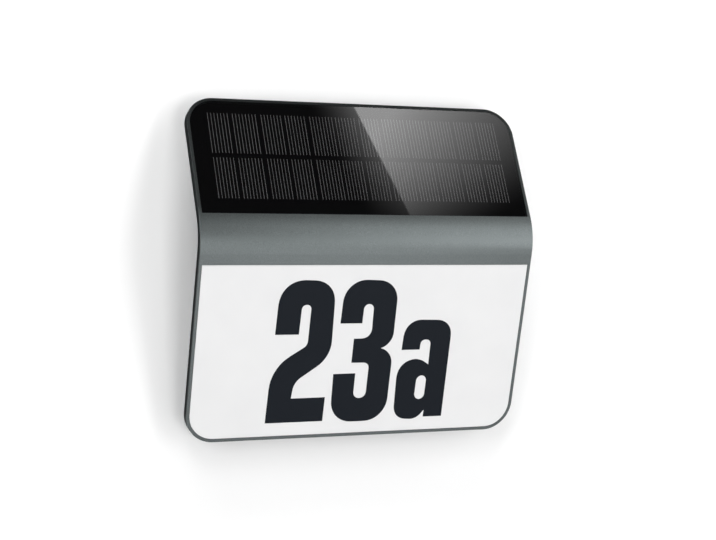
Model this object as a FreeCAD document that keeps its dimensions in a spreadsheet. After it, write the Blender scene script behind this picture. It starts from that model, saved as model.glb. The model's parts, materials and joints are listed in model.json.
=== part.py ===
import FreeCAD, Part
import math
import os
from collections import namedtuple

import Sketcher

# Solar house number light. Frame: the wall is the plane y = 0 and the front faces -Y, with +Z up
# and +X to the right as seen from the front. The origin is the centre of the four fixing holes of
# the wall bracket, at mid-height of the light. Sizes are in millimetres and degrees.

SIZES = {
    # front housing: two flat faces that meet over a round nose, like a bent tray
    "width": 211.0,
    "nose_reach": 49.0,
    "upper_tilt": 23.6,
    "lower_tilt": 15.6,
    "nose_radius": 34.5,
    "band_flat": 6.3,
    "glass_height": 71.6,
    "panel_height": 104.5,
    "rim": 2.0,
    "rim_round": 0.4,
    "corner_radius": 17.5,
    "floor_wall": 1.25,
    "band_skin": 1.5,
    # what lies in the two recesses
    "inlay_drop": 0.15,
    "inlay_gap": 0.15,
    "glass_thick": 2.0,
    "encapsulant": 0.05,
    "cell_thick": 0.3,
    "backsheet_thick": 0.4,
    "tape_thick": 0.2,
    "tape_wide": 6.0,
    "tape_inset": 1.0,
    "diffuser_thick": 1.5,
    "guide_thick": 1.2,
    "film_thick": 0.2,
    # solar cells, in two rows
    "cell_field_wide": 187.0,
    "cell_field_low": 8.6,
    "cell_tall": 26.6,
    "cell_row_gap": 2.1,
    "cell_gap": 1.3,
    # strip of lamps over the light guide
    "lamp_half": 74.0,
    "lamp_wide": 3.8,
    "lamp_deep": 1.0,
    "lamp_gap": 0.15,
    "strip_thick": 0.8,
    "strip_tall": 5.8,
    "lamp_room": 9.0,
    "lamp_room_below": 1.0,
    "lamp_lead_inset": 7.4,
    "carrier_thick": 1.5,
    "carrier_flange": 8.0,
    "rivet_radius": 1.25,
    "rivet_head": 2.2,
    # rear housing
    "tub_half_wide": 85.0,
    "tub_half_tall": 75.0,
    "tub_corner": 12.0,
    "tub_wall": 2.2,
    "tub_wall_gap": 1.5,
    "seal_thick": 1.0,
    "rib_thick": 1.5,
    "rib_tall": 3.0,
    "slip": 0.3,
    # housing screws and their posts
    "post_radius": 3.4,
    "post_stand": 10.0,
    "post_inset": 9.5,
    "pilot_radius": 1.3,
    "pilot_deep": 8.0,
    "screw_radius": 1.25,
    "screw_long": 7.0,
    "screw_head_radius": 2.5,
    "screw_head_tall": 2.0,
    "screw_head_seat": 3.0,
    "through_radius": 1.7,
    "thread_gap": 0.05,
    # wall bracket
    "plate_thick": 2.0,
    "plate_half_wide": 40.0,
    "plate_top": 46.0,
    "plate_bottom": 58.0,
    "plate_corner": 6.0,
    "bend_inside": 0.5,
    "wall_hole_radius": 2.5,
    "wall_hole_across": 56.0,
    "wall_hole_up": 60.0,
    "head_room": 4.8,
    "bay_wall": 2.0,
    "bay_gap": 1.5,
    "hook_across": 26.0,
    "hook_wide": 16.0,
    "hook_lip": 8.0,
    "lift": 10.0,
    "tab_half_wide": 10.0,
    "tab_reach": 11.5,
    # lock screw, from below into the bracket's tab
    "lock_radius": 1.7,
    "lock_back": 6.5,
    "lock_past_tab": 4.0,
    "lock_head_radius": 3.4,
    "lock_head_tall": 2.2,
    # battery and its compartment
    "cell_radius": 9.2,
    "cell_long": 65.0,
    "nub_radius": 3.0,
    "nub_tall": 1.5,
    "battery_across": 60.0,
    "battery_back": 14.0,
    "battery_lead_ahead": 3.0,
    "contact_room": 3.0,
    "contact_sheet": 0.4,
    "cell_slack": 0.4,
    "box_wall": 1.5,
    "door_thick": 2.0,
    "door_lap": 1.2,
    "door_frame": 1.6,
    "door_seal_thick": 0.8,
    "door_seal_wide": 1.4,
    "door_screw_radius": 1.0,
    "door_screw_long": 5.0,
    "door_screw_head": 2.0,
    "grip_wide": 1.0,
    "grip_deep": 0.5,
    "grip_pitch": 4.0,
    # control board
    "board_across": 60.0,
    "board_half_wide": 14.0,
    "board_half_tall": 32.0,
    "board_thick": 1.6,
    "board_stand": 5.0,
    "board_post_radius": 2.6,
    "board_post_inset": 3.5,
    "board_corner": 1.5,
    "board_screw_radius": 1.0,
    "board_screw_head": 2.0,
    "board_screw_head_tall": 1.4,
    "board_grid": 1.0,
    # mode switch under the rear housing
    "switch_across": 58.0,
    "switch_wide": 14.0,
    "switch_deep": 6.6,
    "switch_tall": 6.0,
    "knob_wide": 3.2,
    "knob_deep": 2.6,
    "knob_out": 1.6,
    "knob_in": 2.0,
    "knob_travel": 2.5,
    "knob_slip": 0.2,
    # leads inside
    "lead_radius": 0.6,
    "lead_apart": 1.8,
    "lead_hole": 2.2,
    "lead_stand": 5.0,
    "battery_lead_stand": 10.0,
}

# fingers of each cell along a row; a cell is as wide as its fingers need
CELL_FINGERS = (7, 8, 7, 7, 8, 7, 7, 8, 7, 8, 7, 7)
CELL_ROWS = 2
LAMPS = 12
RIVETS = 3
GRIPS = 4
SIDES = (-1, 1)
LEAD_SIDES = 8
# share of a straight run that the arc at its corner may take, at a lead's end and in between
END_SHARE = 0.8
INNER_SHARE = 0.45
# how far a point may lie from a face and still count as on it
ON_FACE = 1e-3
# how far from the fold a seam may end, in lengths of the nose's tangent
SEAM_REACH = 3
# share by which a swept lead's volume may differ from its section times its length
SWEEP_SLACK = 0.01

Step = namedtuple("Step", "x y centre radius", defaults=(None, None))


class Size:
    """A number together with the formula, in names of the sheet, that it comes from."""

    def __init__(self, value, text):
        self.value = value
        self.text = text

    def joined(self, sign, other, value):
        return Size(value, f"({self.text} {sign} {other.text})")

    def __add__(self, other):
        other = sized(other)
        return self.joined("+", other, self.value + other.value)

    def __sub__(self, other):
        other = sized(other)
        return self.joined("-", other, self.value - other.value)

    def __mul__(self, other):
        other = sized(other)
        return self.joined("*", other, self.value * other.value)

    def __truediv__(self, other):
        other = sized(other)
        return self.joined("/", other, self.value / other.value)

    def __neg__(self):
        return Size(-self.value, f"(-1 * {self.text})")

    def __radd__(self, other):
        return sized(other) + self

    def __rsub__(self, other):
        return sized(other) - self

    def __rmul__(self, other):
        return sized(other) * self


def sized(number):
    """A plain number as a Size."""
    return number if isinstance(number, Size) else Size(float(number), f"{float(number)}")


def sine(angle):
    return Size(math.sin(math.radians(angle.value)), f"sin({angle.text})")


def cosine(angle):
    return Size(math.cos(math.radians(angle.value)), f"cos({angle.text})")


def tangent(angle):
    return Size(math.tan(math.radians(angle.value)), f"tan({angle.text})")


doc = FreeCAD.newDocument("HouseNumberLight")
sheet = doc.addObject("Spreadsheet::Sheet", "Sizes")
for row, (alias, number) in enumerate(SIZES.items(), 1):
    sheet.set(f"A{row}", f"{number}")
    sheet.setAlias(f"A{row}", alias)
doc.recompute()
size = namedtuple("Named", SIZES)(*(Size(float(sheet.get(name)), f"Sizes.{name}") for name in SIZES))
nodes = []


# ---------------------------------------------------------------- drawing and building helpers


def bind(item, path, value):
    """Tie a property to the formula of a size."""
    item.setExpression(path, sized(value).text)


def keep(item, label):
    """Make an object one of the named sub-parts."""
    item.Label = label
    nodes.append(item)
    return item


def new_body(label):
    return keep(doc.addObject("PartDesign::Body", label), label)


def sketch_on(body, role, out=0.0):
    """A sketch on one of the body's origin planes, moved along its normal."""
    sketch = body.newObject("Sketcher::SketchObject", f"{body.Name}_sketch")
    plane = [item for item in body.Origin.OriginFeatures if item.Role == role][0]
    sketch.AttachmentSupport = [(plane, "")]
    sketch.MapMode = "FlatFace"
    bind(sketch, "AttachmentOffset.Base.z", out)
    return sketch


def pin(sketch, kind, geometry, place, value):
    """Fix one coordinate of a point, measured from the sketch's origin."""
    value = sized(value)
    number = sketch.addConstraint(Sketcher.Constraint(kind, -1, 1, geometry, place, value.value))
    bind(sketch, f"Constraints[{number}]", value)


def draw(sketch, path):
    """Draw a closed outline whose steps go to their corners straight or along an arc."""
    first = sketch.GeometryCount
    ends = []
    for before, step in zip([path[-1]] + path[:-1], path):
        start = FreeCAD.Vector(sized(before.x).value, sized(before.y).value, 0)
        stop = FreeCAD.Vector(sized(step.x).value, sized(step.y).value, 0)
        if step.centre is None:
            sketch.addGeometry(Part.LineSegment(start, stop), False)
            ends.append((1, 2))
            continue
        middle = FreeCAD.Vector(sized(step.centre[0]).value, sized(step.centre[1]).value, 0)
        turn_from = math.atan2(start.y - middle.y, start.x - middle.x)
        turn_to = math.atan2(stop.y - middle.y, stop.x - middle.x)
        forward = (turn_to - turn_from) % (2 * math.pi) < math.pi
        circle = Part.Circle(middle, FreeCAD.Vector(0, 0, 1), sized(step.radius).value)
        angles = (turn_from, turn_to) if forward else (turn_to, turn_from)
        sketch.addGeometry(Part.ArcOfCircle(circle, *angles), False)
        ends.append((1, 2) if forward else (2, 1))
    count = len(path)
    for index, step in enumerate(path):
        after = (index + 1) % count
        joint = (first + index, ends[index][1], first + after, ends[after][0])
        sketch.addConstraint(Sketcher.Constraint("Coincident", *joint))
        pin(sketch, "DistanceX", first + index, ends[index][1], step.x)
        pin(sketch, "DistanceY", first + index, ends[index][1], step.y)
        if step.centre is not None:
            value = sized(step.radius)
            number = sketch.addConstraint(Sketcher.Constraint("Radius", first + index, value.value))
            bind(sketch, f"Constraints[{number}]", value)


def draw_circle(sketch, x, y, radius):
    radius = sized(radius)
    middle = FreeCAD.Vector(sized(x).value, sized(y).value, 0)
    circle = Part.Circle(middle, FreeCAD.Vector(0, 0, 1), radius.value)
    geometry = sketch.addGeometry(circle, False)
    pin(sketch, "DistanceX", geometry, 3, x)
    pin(sketch, "DistanceY", geometry, 3, y)
    number = sketch.addConstraint(Sketcher.Constraint("Radius", geometry, radius.value))
    bind(sketch, f"Constraints[{number}]", radius)


def rectangle(left, right, low, high, low_round=None, high_round=None):
    """Corners of a rectangle, its low and its high pair rounded or square."""
    left, right, low, high = (sized(edge) for edge in (left, right, low, high))
    path = []
    if low_round is None:
        path += [Step(left, low), Step(right, low)]
    else:
        path += [
            Step(left + low_round, low, (left + low_round, low + low_round), low_round),
            Step(right - low_round, low),
            Step(right, low + low_round, (right - low_round, low + low_round), low_round),
        ]
    if high_round is None:
        path += [Step(right, high), Step(left, high)]
    else:
        path += [
            Step(right, high - high_round),
            Step(right - high_round, high, (right - high_round, high - high_round), high_round),
            Step(left + high_round, high),
            Step(left, high - high_round, (left + high_round, high - high_round), high_round),
        ]
    if low_round is not None:
        path.append(Step(left, low + low_round))
    return path


def pad(body, sketch, length, reverse=False, both=False):
    """Add material along the sketch's normal."""
    feature = body.newObject("PartDesign::Pad", f"{body.Name}_pad")
    feature.Profile = sketch
    feature.Reversed = reverse
    feature.SideType = "Symmetric" if both else "One side"
    bind(feature, "Length", length)
    sketch.Visibility = False
    return feature


def pocket(body, sketch, length, reverse=False, both=False):
    """Cut against the sketch's normal, or along it when reversed."""
    feature = body.newObject("PartDesign::Pocket", f"{body.Name}_pocket")
    feature.Profile = sketch
    feature.Reversed = reverse
    feature.SideType = "Symmetric" if both else "One side"
    bind(feature, "Length", length)
    sketch.Visibility = False
    return feature


def edges_where(shape, test):
    """Names of the edges whose middle point passes the test."""
    names = []
    for number, edge in enumerate(shape.Edges, 1):
        middle = edge.valueAt((edge.FirstParameter + edge.LastParameter) / 2)
        if test(middle, edge):
            names.append(f"Edge{number}")
    return names


def fillet(body, radius, test):
    """Round the edges of the body's last feature that pass the test."""
    doc.recompute()
    base = body.Tip
    feature = body.newObject("PartDesign::Fillet", f"{body.Name}_fillet")
    feature.Base = (base, edges_where(base.Shape, test))
    bind(feature, "Radius", radius)
    return feature


def block(left, right, front, back, low, high):
    """A box between six planes; front is the smaller y."""
    item = doc.addObject("Part::Box", "block")
    for name, start, stop in (("Length", left, right), ("Width", front, back), ("Height", low, high)):
        bind(item, name, sized(stop) - start)
    for axis, start in (("x", left), ("y", front), ("z", low)):
        bind(item, f"Placement.Base.{axis}", start)
    return item


TURNS = {
    "z": FreeCAD.Rotation(),
    "-y": FreeCAD.Rotation(FreeCAD.Vector(1, 0, 0), 90),
}


def rod(x, y, z, radius, length, along="z"):
    """A cylinder that starts at a point and runs along z or -y."""
    item = doc.addObject("Part::Cylinder", "rod")
    item.Placement = FreeCAD.Placement(FreeCAD.Vector(), TURNS[along])
    bind(item, "Radius", radius)
    bind(item, "Height", length)
    for axis, start in (("x", x), ("y", y), ("z", z)):
        bind(item, f"Placement.Base.{axis}", start)
    return item


def fused(items):
    item = doc.addObject("Part::MultiFuse", "joined")
    item.Shapes = items
    return item


def cut(base, tool):
    item = doc.addObject("Part::Cut", "cut")
    item.Base = base
    item.Tool = tool
    return item


def grouped(items, label):
    item = doc.addObject("Part::Compound", label)
    item.Links = items
    return keep(item, label)


# ---------------------------------------------------------------- shape of the bent front

HALF_BEND = (size.upper_tilt + size.lower_tilt) / 2
SKEW = (size.upper_tilt - size.lower_tilt) / 2
# from the sharp fold of the two faces to where the nose's arc begins
NOSE_TANGENT = size.nose_radius * tangent(HALF_BEND)
UPPER_LONG = NOSE_TANGENT + size.glass_height + size.rim
PANEL_TOP = NOSE_TANGENT + size.band_flat
LOWER_LONG = PANEL_TOP + size.panel_height + size.rim
CELLS_DEEP = size.inlay_drop + size.glass_thick + size.encapsulant
BACKSHEET_DEEP = CELLS_DEEP + size.cell_thick
TAPE_DEEP = BACKSHEET_DEEP + size.backsheet_thick
GLASS_RECESS = TAPE_DEEP + size.tape_thick
PANEL_RECESS = size.inlay_drop + size.diffuser_thick + size.guide_thick + size.film_thick
SHELL = GLASS_RECESS + size.floor_wall
# the room behind the band for the lamps, and the step of the carrier that reaches into it
LAMP_ROOM_LOW = -PANEL_TOP - size.lamp_room_below
LAMP_ROOM_HIGH = -PANEL_TOP + size.lamp_room
CARRIER_STEP = LAMP_ROOM_LOW + size.slip
# the sharp fold, and the axis of the nose's arc
FOLD_Y = size.nose_radius - size.nose_reach - size.nose_radius * cosine(SKEW) / cosine(HALF_BEND)
FOLD_Z = (LOWER_LONG * cosine(size.lower_tilt) - UPPER_LONG * cosine(size.upper_tilt)) / 2
NOSE_Y = size.nose_radius - size.nose_reach
NOSE_Z = FOLD_Z - size.nose_radius * sine(SKEW) / cosine(HALF_BEND)
HALF_WIDE = size.width / 2
INLAY_HALF = HALF_WIDE - size.rim
INLAY_CORNER = size.corner_radius - size.rim
FAR = size.nose_reach * 2


def on_upper(along, deep):
    """Y and z of a point on the upper face, from the fold up along it and back from its front."""
    y = FOLD_Y + along * sine(size.upper_tilt) + deep * cosine(size.upper_tilt)
    z = FOLD_Z + along * cosine(size.upper_tilt) - deep * sine(size.upper_tilt)
    return y, z


def on_lower(along, deep):
    """Y and z of a point on the lower face, from the fold down along it and back from its front."""
    y = FOLD_Y + along * sine(size.lower_tilt) + deep * cosine(size.lower_tilt)
    z = FOLD_Z - along * cosine(size.lower_tilt) + deep * sine(size.lower_tilt)
    return y, z


def back_of_shell(z):
    """Y of the flat back of the front housing at a height."""
    z = sized(z)
    if z.value > FOLD_Z.value:
        return FOLD_Y + (z - FOLD_Z) * tangent(size.upper_tilt) + SHELL / cosine(size.upper_tilt)
    return FOLD_Y + (FOLD_Z - z) * tangent(size.lower_tilt) + SHELL / cosine(size.lower_tilt)


def bent_line(deep, top, bottom):
    """The front's line, moved back by a depth, from its top end round the nose to its bottom end."""
    radius = size.nose_radius - deep
    return [
        Step(*on_upper(top, deep)),
        Step(*on_upper(NOSE_TANGENT, deep)),
        Step(*on_lower(NOSE_TANGENT, deep), (NOSE_Y, NOSE_Z), radius),
        Step(*on_lower(bottom, deep)),
    ]


def reversed_path(path):
    """The same corners the other way round, with each arc kept between its two corners."""
    turned = []
    for index in range(len(path) - 1, -1, -1):
        arc = path[index + 1] if index + 1 < len(path) else Step(0, 0)
        turned.append(Step(path[index].x, path[index].y, arc.centre, arc.radius))
    return turned


def trim_bent(body, deep, front):
    """Cut away all that is in front of, or behind, the bent line at a depth."""
    sketch = sketch_on(body, "YZ_Plane")
    line = bent_line(sized(deep), UPPER_LONG * 2, LOWER_LONG * 2)
    edge = -FAR * 2 if front else FAR * 2
    draw(sketch, line + [Step(edge, line[-1].y), Step(edge, line[0].y)])
    return pocket(body, sketch, size.width * 2, both=True)


def lean(item, side):
    """Place an object on a face: its x across, its y up along the face, its z out of the face."""
    turn = 90 - size.upper_tilt if side == "upper" else 90 + size.lower_tilt
    item.Placement = FreeCAD.Placement(
        FreeCAD.Vector(), FreeCAD.Rotation(FreeCAD.Vector(1, 0, 0), turn.value)
    )
    bind(item, "Placement.Rotation.Angle", turn)
    bind(item, "Placement.Base.y", FOLD_Y)
    bind(item, "Placement.Base.z", FOLD_Z)
    return item


def leaning_sketch(body, side, deep):
    """A sketch parallel to a face and behind it by a depth, with the same x and y as lean gives."""
    sketch = sketch_on(body, "XZ_Plane")
    y, z = on_upper(sized(0), sized(deep)) if side == "upper" else on_lower(sized(0), sized(deep))
    turn = -size.upper_tilt if side == "upper" else size.lower_tilt
    sketch.AttachmentOffset = FreeCAD.Placement(
        FreeCAD.Vector(), FreeCAD.Rotation(FreeCAD.Vector(1, 0, 0), turn.value)
    )
    bind(sketch, "AttachmentOffset.Rotation.Angle", turn)
    bind(sketch, "AttachmentOffset.Base.y", z)
    bind(sketch, "AttachmentOffset.Base.z", -y)
    return sketch


def plane_at(body, y):
    """A sketch parallel to the wall at a given y; its normal points to the front."""
    return sketch_on(body, "XZ_Plane", out=-sized(y))


# ---------------------------------------------------------------- posts of the housing screws

POST_X = size.tub_half_wide - size.post_inset
POST_Z = size.tub_half_tall - size.post_inset
POSTS = [(POST_X, POST_Z), (POST_X, -POST_Z)]


def post_meet(z):
    """Y where the posts of the two housings meet."""
    return back_of_shell(z) + size.post_stand


# ---------------------------------------------------------------- front housing


def tub_outline(inset):
    """Outline of the rear housing, moved inwards."""
    wide = size.tub_half_wide - inset
    tall = size.tub_half_tall - inset
    corner = size.tub_corner - inset
    return rectangle(-wide, wide, -tall, tall, corner, corner)


def is_tray_corner(middle, edge):
    """Whether an edge is one of the tray's four corners, by its middle point."""
    ends = (on_upper(UPPER_LONG, SHELL / 2), on_lower(LOWER_LONG, SHELL / 2))
    at_side = abs(abs(middle.x) - HALF_WIDE.value) < ON_FACE
    return at_side and any(
        math.hypot(middle.y - y.value, middle.z - z.value) < ON_FACE for y, z in ends
    )


def front_gap(point):
    """How far a point lies from the front's line, seen from the side."""
    nose = math.hypot(point.y - NOSE_Y.value, point.z - NOSE_Z.value) - size.nose_radius.value
    upper = math.radians(size.upper_tilt.value)
    lower = math.radians(size.lower_tilt.value)
    y = point.y - FOLD_Y.value
    z = point.z - FOLD_Z.value
    on_top = abs(y * math.cos(upper) - z * math.sin(upper))
    on_bottom = abs(y * math.cos(lower) + z * math.sin(lower))
    return min(abs(nose), on_top, on_bottom)


def is_front_rim(middle, edge):
    """Whether an edge goes round the front, and isn't a seam between a flat face and the nose."""
    first, last = edge.Vertexes[0].Point, edge.Vertexes[-1].Point
    crosses = abs(first.x + last.x) < ON_FACE and abs(first.z) < NOSE_TANGENT.value * SEAM_REACH
    return front_gap(middle) < ON_FACE and not crosses


def make_front_housing():
    body = new_body("front_housing")
    # rib that locates the rear housing from inside
    sketch = plane_at(body, 0)
    draw(sketch, tub_outline(size.tub_wall + size.slip))
    draw(sketch, tub_outline(size.tub_wall + size.slip + size.rib_thick))
    pad(body, sketch, FAR)
    trim_bent(body, SHELL - size.floor_wall, front=True)
    trim_bent(body, SHELL + size.rib_tall, front=False)
    # the bent tray, solid at first
    sketch = sketch_on(body, "YZ_Plane")
    front = bent_line(sized(0), UPPER_LONG, LOWER_LONG)
    back = bent_line(SHELL, UPPER_LONG, LOWER_LONG)
    draw(sketch, front + reversed_path(back))
    pad(body, sketch, size.width, both=True)

    fillet(body, size.corner_radius, is_tray_corner)
    fillet(body, size.rim_round, is_front_rim)
    # posts on the back of the tray; the recesses below trim what reaches into them
    for x, z in POSTS:
        meet = post_meet(z)
        sketch = plane_at(body, meet)
        for side in SIDES:
            draw_circle(sketch, x * side, z, size.post_radius)
        pad(body, sketch, size.post_stand + SHELL / 2)
    # recess of the solar panel, and the recess of the number panel
    sketch = leaning_sketch(body, "upper", 0)
    top = NOSE_TANGENT + size.glass_height
    draw(sketch, rectangle(-INLAY_HALF, INLAY_HALF, NOSE_TANGENT, top, None, INLAY_CORNER))
    pocket(body, sketch, GLASS_RECESS)
    sketch = leaning_sketch(body, "lower", 0)
    low = -(PANEL_TOP + size.panel_height)
    draw(sketch, rectangle(-INLAY_HALF, INLAY_HALF, low, -PANEL_TOP, INLAY_CORNER, None))
    pocket(body, sketch, PANEL_RECESS)
    # room for the lamps behind the lower part of the band, open to the number panel's recess
    sketch = leaning_sketch(body, "lower", size.band_skin)
    room = size.lamp_half + size.slip * 3
    draw(sketch, rectangle(-room, room, LAMP_ROOM_LOW, LAMP_ROOM_HIGH))
    pocket(body, sketch, FAR)
    # pins that hold the lamp carrier, with their heads formed over it
    for radius, start, long in (
        (size.rivet_radius, SHELL - size.floor_wall / 2, size.floor_wall / 2 + size.carrier_thick),
        (size.rivet_head, SHELL + size.carrier_thick, size.floor_wall / 2),
    ):
        sketch = leaning_sketch(body, "lower", start)
        for index in range(RIVETS):
            draw_circle(sketch, rivet_x(index), rivet_up(), radius)
        pad(body, sketch, long, reverse=True)
    # pilot holes of the housing screws
    for x, z in POSTS:
        sketch = plane_at(body, post_meet(z))
        for side in SIDES:
            draw_circle(sketch, x * side, z, size.pilot_radius)
        pocket(body, sketch, size.pilot_deep, reverse=True)
    # hole for the leads of the solar panel
    sketch = leaning_sketch(body, "upper", 0)
    draw_circle(sketch, lead_hole_x(), lead_hole_up(), size.lead_hole)
    pocket(body, sketch, SHELL * 2)
    return body


def rivet_x(index):
    return size.lamp_half * ((index - (RIVETS - 1) / 2) * 2 / RIVETS)


def rivet_up():
    return CARRIER_STEP - size.carrier_flange / 2


def lead_hole_x():
    return -size.board_across + size.board_half_wide / 2


def lead_hole_up():
    return NOSE_TANGENT + size.cell_field_low + size.cell_tall + size.cell_row_gap / 2


# ---------------------------------------------------------------- inlays of the two recesses


def inlay(label, side, low, high, deep, thick, low_round, high_round, inset=0.0):
    """A flat sheet in a recess, with the recess's round corners, its front behind the face."""
    body = new_body(label)
    sketch = sketch_on(body, "XY_Plane", out=-(sized(deep) + thick))
    half = INLAY_HALF - size.inlay_gap - inset
    rounds = [
        None if corner is None else corner - size.inlay_gap - inset
        for corner in (low_round, high_round)
    ]
    gap = size.inlay_gap + inset
    draw(sketch, rectangle(-half, half, low + gap, high - gap, *rounds))
    pad(body, sketch, thick)
    return lean(body, side)


def make_solar_panel():
    low = NOSE_TANGENT
    high = NOSE_TANGENT + size.glass_height
    inlay("solar_glass", "upper", low, high, size.inlay_drop, size.glass_thick, None, INLAY_CORNER)
    inlay(
        "solar_backsheet", "upper", low, high, BACKSHEET_DEEP, size.backsheet_thick,
        None, INLAY_CORNER,
    )
    finger_room = (size.cell_field_wide - size.cell_gap * (len(CELL_FINGERS) - 1)) / sum(CELL_FINGERS)
    cells = []
    for row in range(CELL_ROWS):
        bottom = low + size.cell_field_low + (size.cell_tall + size.cell_row_gap) * row
        for column, fingers in enumerate(CELL_FINGERS):
            before = finger_room * sum(CELL_FINGERS[:column]) + size.cell_gap * column
            left = before - size.cell_field_wide / 2
            right = left + finger_room * fingers
            cells.append(
                block(left, right, bottom, bottom + size.cell_tall, -BACKSHEET_DEEP, -CELLS_DEEP)
            )
    lean(grouped(cells, "solar_cells"), "upper")
    # frame of mounting tape between the backsheet and the floor of the recess
    body = new_body("solar_tape")
    sketch = sketch_on(body, "XY_Plane", out=-GLASS_RECESS)
    outer = size.inlay_gap + size.tape_inset
    for inset in (outer, outer + size.tape_wide):
        half = INLAY_HALF - inset
        corner = INLAY_CORNER - inset
        draw(sketch, rectangle(-half, half, low + inset, high - inset, None, corner))
    pad(body, sketch, size.tape_thick)
    lean(body, "upper")


def make_number_panel():
    high = -PANEL_TOP
    low = -(PANEL_TOP + size.panel_height)
    guide_deep = size.inlay_drop + size.diffuser_thick
    film_deep = guide_deep + size.guide_thick
    stack = (
        ("number_panel", size.inlay_drop, size.diffuser_thick, 0.0),
        ("light_guide", guide_deep, size.guide_thick, size.slip),
        ("reflector_film", film_deep, size.film_thick, size.slip),
    )
    for label, deep, thick, inset in stack:
        inlay(label, "lower", low, high, deep, thick, INLAY_CORNER, None, inset)


# ---------------------------------------------------------------- lamps over the light guide

LAMP_FRONT = size.inlay_drop + size.diffuser_thick
LAMP_BACK = LAMP_FRONT + size.guide_thick
STRIP_BACK = LAMP_BACK + size.strip_thick


def make_lamp_strip():
    low = -PANEL_TOP + size.lamp_gap
    lamps = []
    pitch = size.lamp_half * 2 / LAMPS
    for index in range(LAMPS):
        middle = pitch * (index - (LAMPS - 1) / 2)
        left = middle - size.lamp_wide / 2
        right = middle + size.lamp_wide / 2
        lamps.append(block(left, right, low, low + size.lamp_deep, -LAMP_BACK, -LAMP_FRONT))
    lean(grouped(lamps, "leds"), "lower")
    body = new_body("led_board")
    sketch = sketch_on(body, "XY_Plane", out=-STRIP_BACK)
    draw(sketch, rectangle(-size.lamp_half, size.lamp_half, low, low + size.strip_tall))
    pad(body, sketch, size.strip_thick)
    lean(body, "lower")
    # carrier: a strip behind the board with a flange that lies on the back of the tray
    body = new_body("led_carrier")
    sketch = sketch_on(body, "YZ_Plane")
    back = -(SHELL + size.carrier_thick)
    step_high = LAMP_ROOM_HIGH - size.slip
    flange_low = CARRIER_STEP - size.carrier_flange
    profile = [
        Step(flange_low, back),
        Step(step_high, back),
        Step(step_high, -STRIP_BACK),
        Step(CARRIER_STEP, -STRIP_BACK),
        Step(CARRIER_STEP, -SHELL),
        Step(flange_low, -SHELL),
    ]
    draw(sketch, profile)
    pad(body, sketch, size.lamp_half * 2, both=True)
    sketch = sketch_on(body, "XY_Plane", out=-SHELL)
    for index in range(RIVETS):
        draw_circle(sketch, rivet_x(index), rivet_up(), size.rivet_radius + size.slip / 2)
    pocket(body, sketch, size.carrier_thick * 2)
    sketch = sketch_on(body, "XY_Plane", out=-STRIP_BACK)
    draw_circle(sketch, lamp_lead_x(), lamp_lead_up(), size.lead_hole)
    pocket(body, sketch, SHELL * 2)
    lean(body, "lower")


def lamp_lead_x():
    return size.lamp_lead_inset - size.lamp_half


def lamp_lead_up():
    return size.lamp_gap + size.strip_tall / 2 - PANEL_TOP


# ---------------------------------------------------------------- rear housing

TUB_BACK = -size.tub_wall_gap
TUB_INNER = TUB_BACK - size.tub_wall
TUB_BOTTOM = -size.tub_half_tall
BAY_FLOOR = -(size.plate_thick + size.head_room)
BAY_INNER = BAY_FLOOR - size.bay_wall
BAY_HALF = size.plate_half_wide + size.bay_gap
BAY_TOP = size.plate_top + size.bay_gap
BAY_BOTTOM = -(size.plate_bottom + size.lift + size.bay_gap)
WELL_HALF = size.tab_half_wide + size.bay_gap
WELL_FLOOR = -(size.tab_reach + size.slip * 3)
WELL_TOP = -size.plate_bottom + size.plate_thick + size.lock_past_tab + size.bay_gap
NECK_LOW = size.plate_top - size.plate_thick
LIP_TOP = size.plate_top + size.hook_lip
LIP_BACK = BAY_INNER - size.slip
LIP_FRONT = LIP_BACK - size.plate_thick
HOOK_HALF = size.hook_wide / 2
SLOT_HALF = HOOK_HALF + size.slip * 2
SLOT_TOP = size.plate_top + size.slip
SLOT_BOTTOM = NECK_LOW - size.lift - size.slip * 2
HOOK_ROOM_TOP = LIP_TOP + size.bay_gap
HOOK_ROOM_FLOOR = LIP_FRONT - size.slip * 2
BOX_FLOOR = -(size.battery_back + size.cell_radius + size.cell_slack)
BOX_HALF = size.cell_radius + size.cell_slack
BOX_HALF_LONG = size.cell_long / 2 + size.contact_room
SEAL_GROW = size.slip + size.door_seal_wide
DOOR_HALF = BOX_HALF + SEAL_GROW + size.door_lap
DOOR_SCREW_Z = BOX_HALF_LONG + SEAL_GROW + size.slip + size.door_screw_radius
DOOR_HALF_LONG = DOOR_SCREW_Z + size.door_screw_head + size.slip * 2
DOOR_SEAT = TUB_BACK - size.door_thick
LEDGE = DOOR_SEAT - size.door_seal_thick
BATTERY_LEAD_Y = -(size.battery_back + size.battery_lead_ahead)
KNOB_HALF = size.knob_wide / 2
KNOB_ROOM = KNOB_HALF + size.knob_travel + size.slip
RIB_LOW = TUB_BOTTOM + size.tub_wall + size.slip
RIB_EDGE = back_of_shell(RIB_LOW) + size.rib_tall / cosine(size.lower_tilt)
SWITCH_Y = (RIB_EDGE + TUB_INNER) / 2


def box_in(body, left, right, low, high, start, stop, cutting=False, corner=None):
    """Pad or pocket a rectangle between two planes parallel to the wall, from back to front."""
    sketch = plane_at(body, start)
    draw(sketch, rectangle(left, right, low, high, corner, corner))
    if cutting:
        return pocket(body, sketch, sized(start) - stop, reverse=True)
    return pad(body, sketch, sized(start) - stop)


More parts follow.
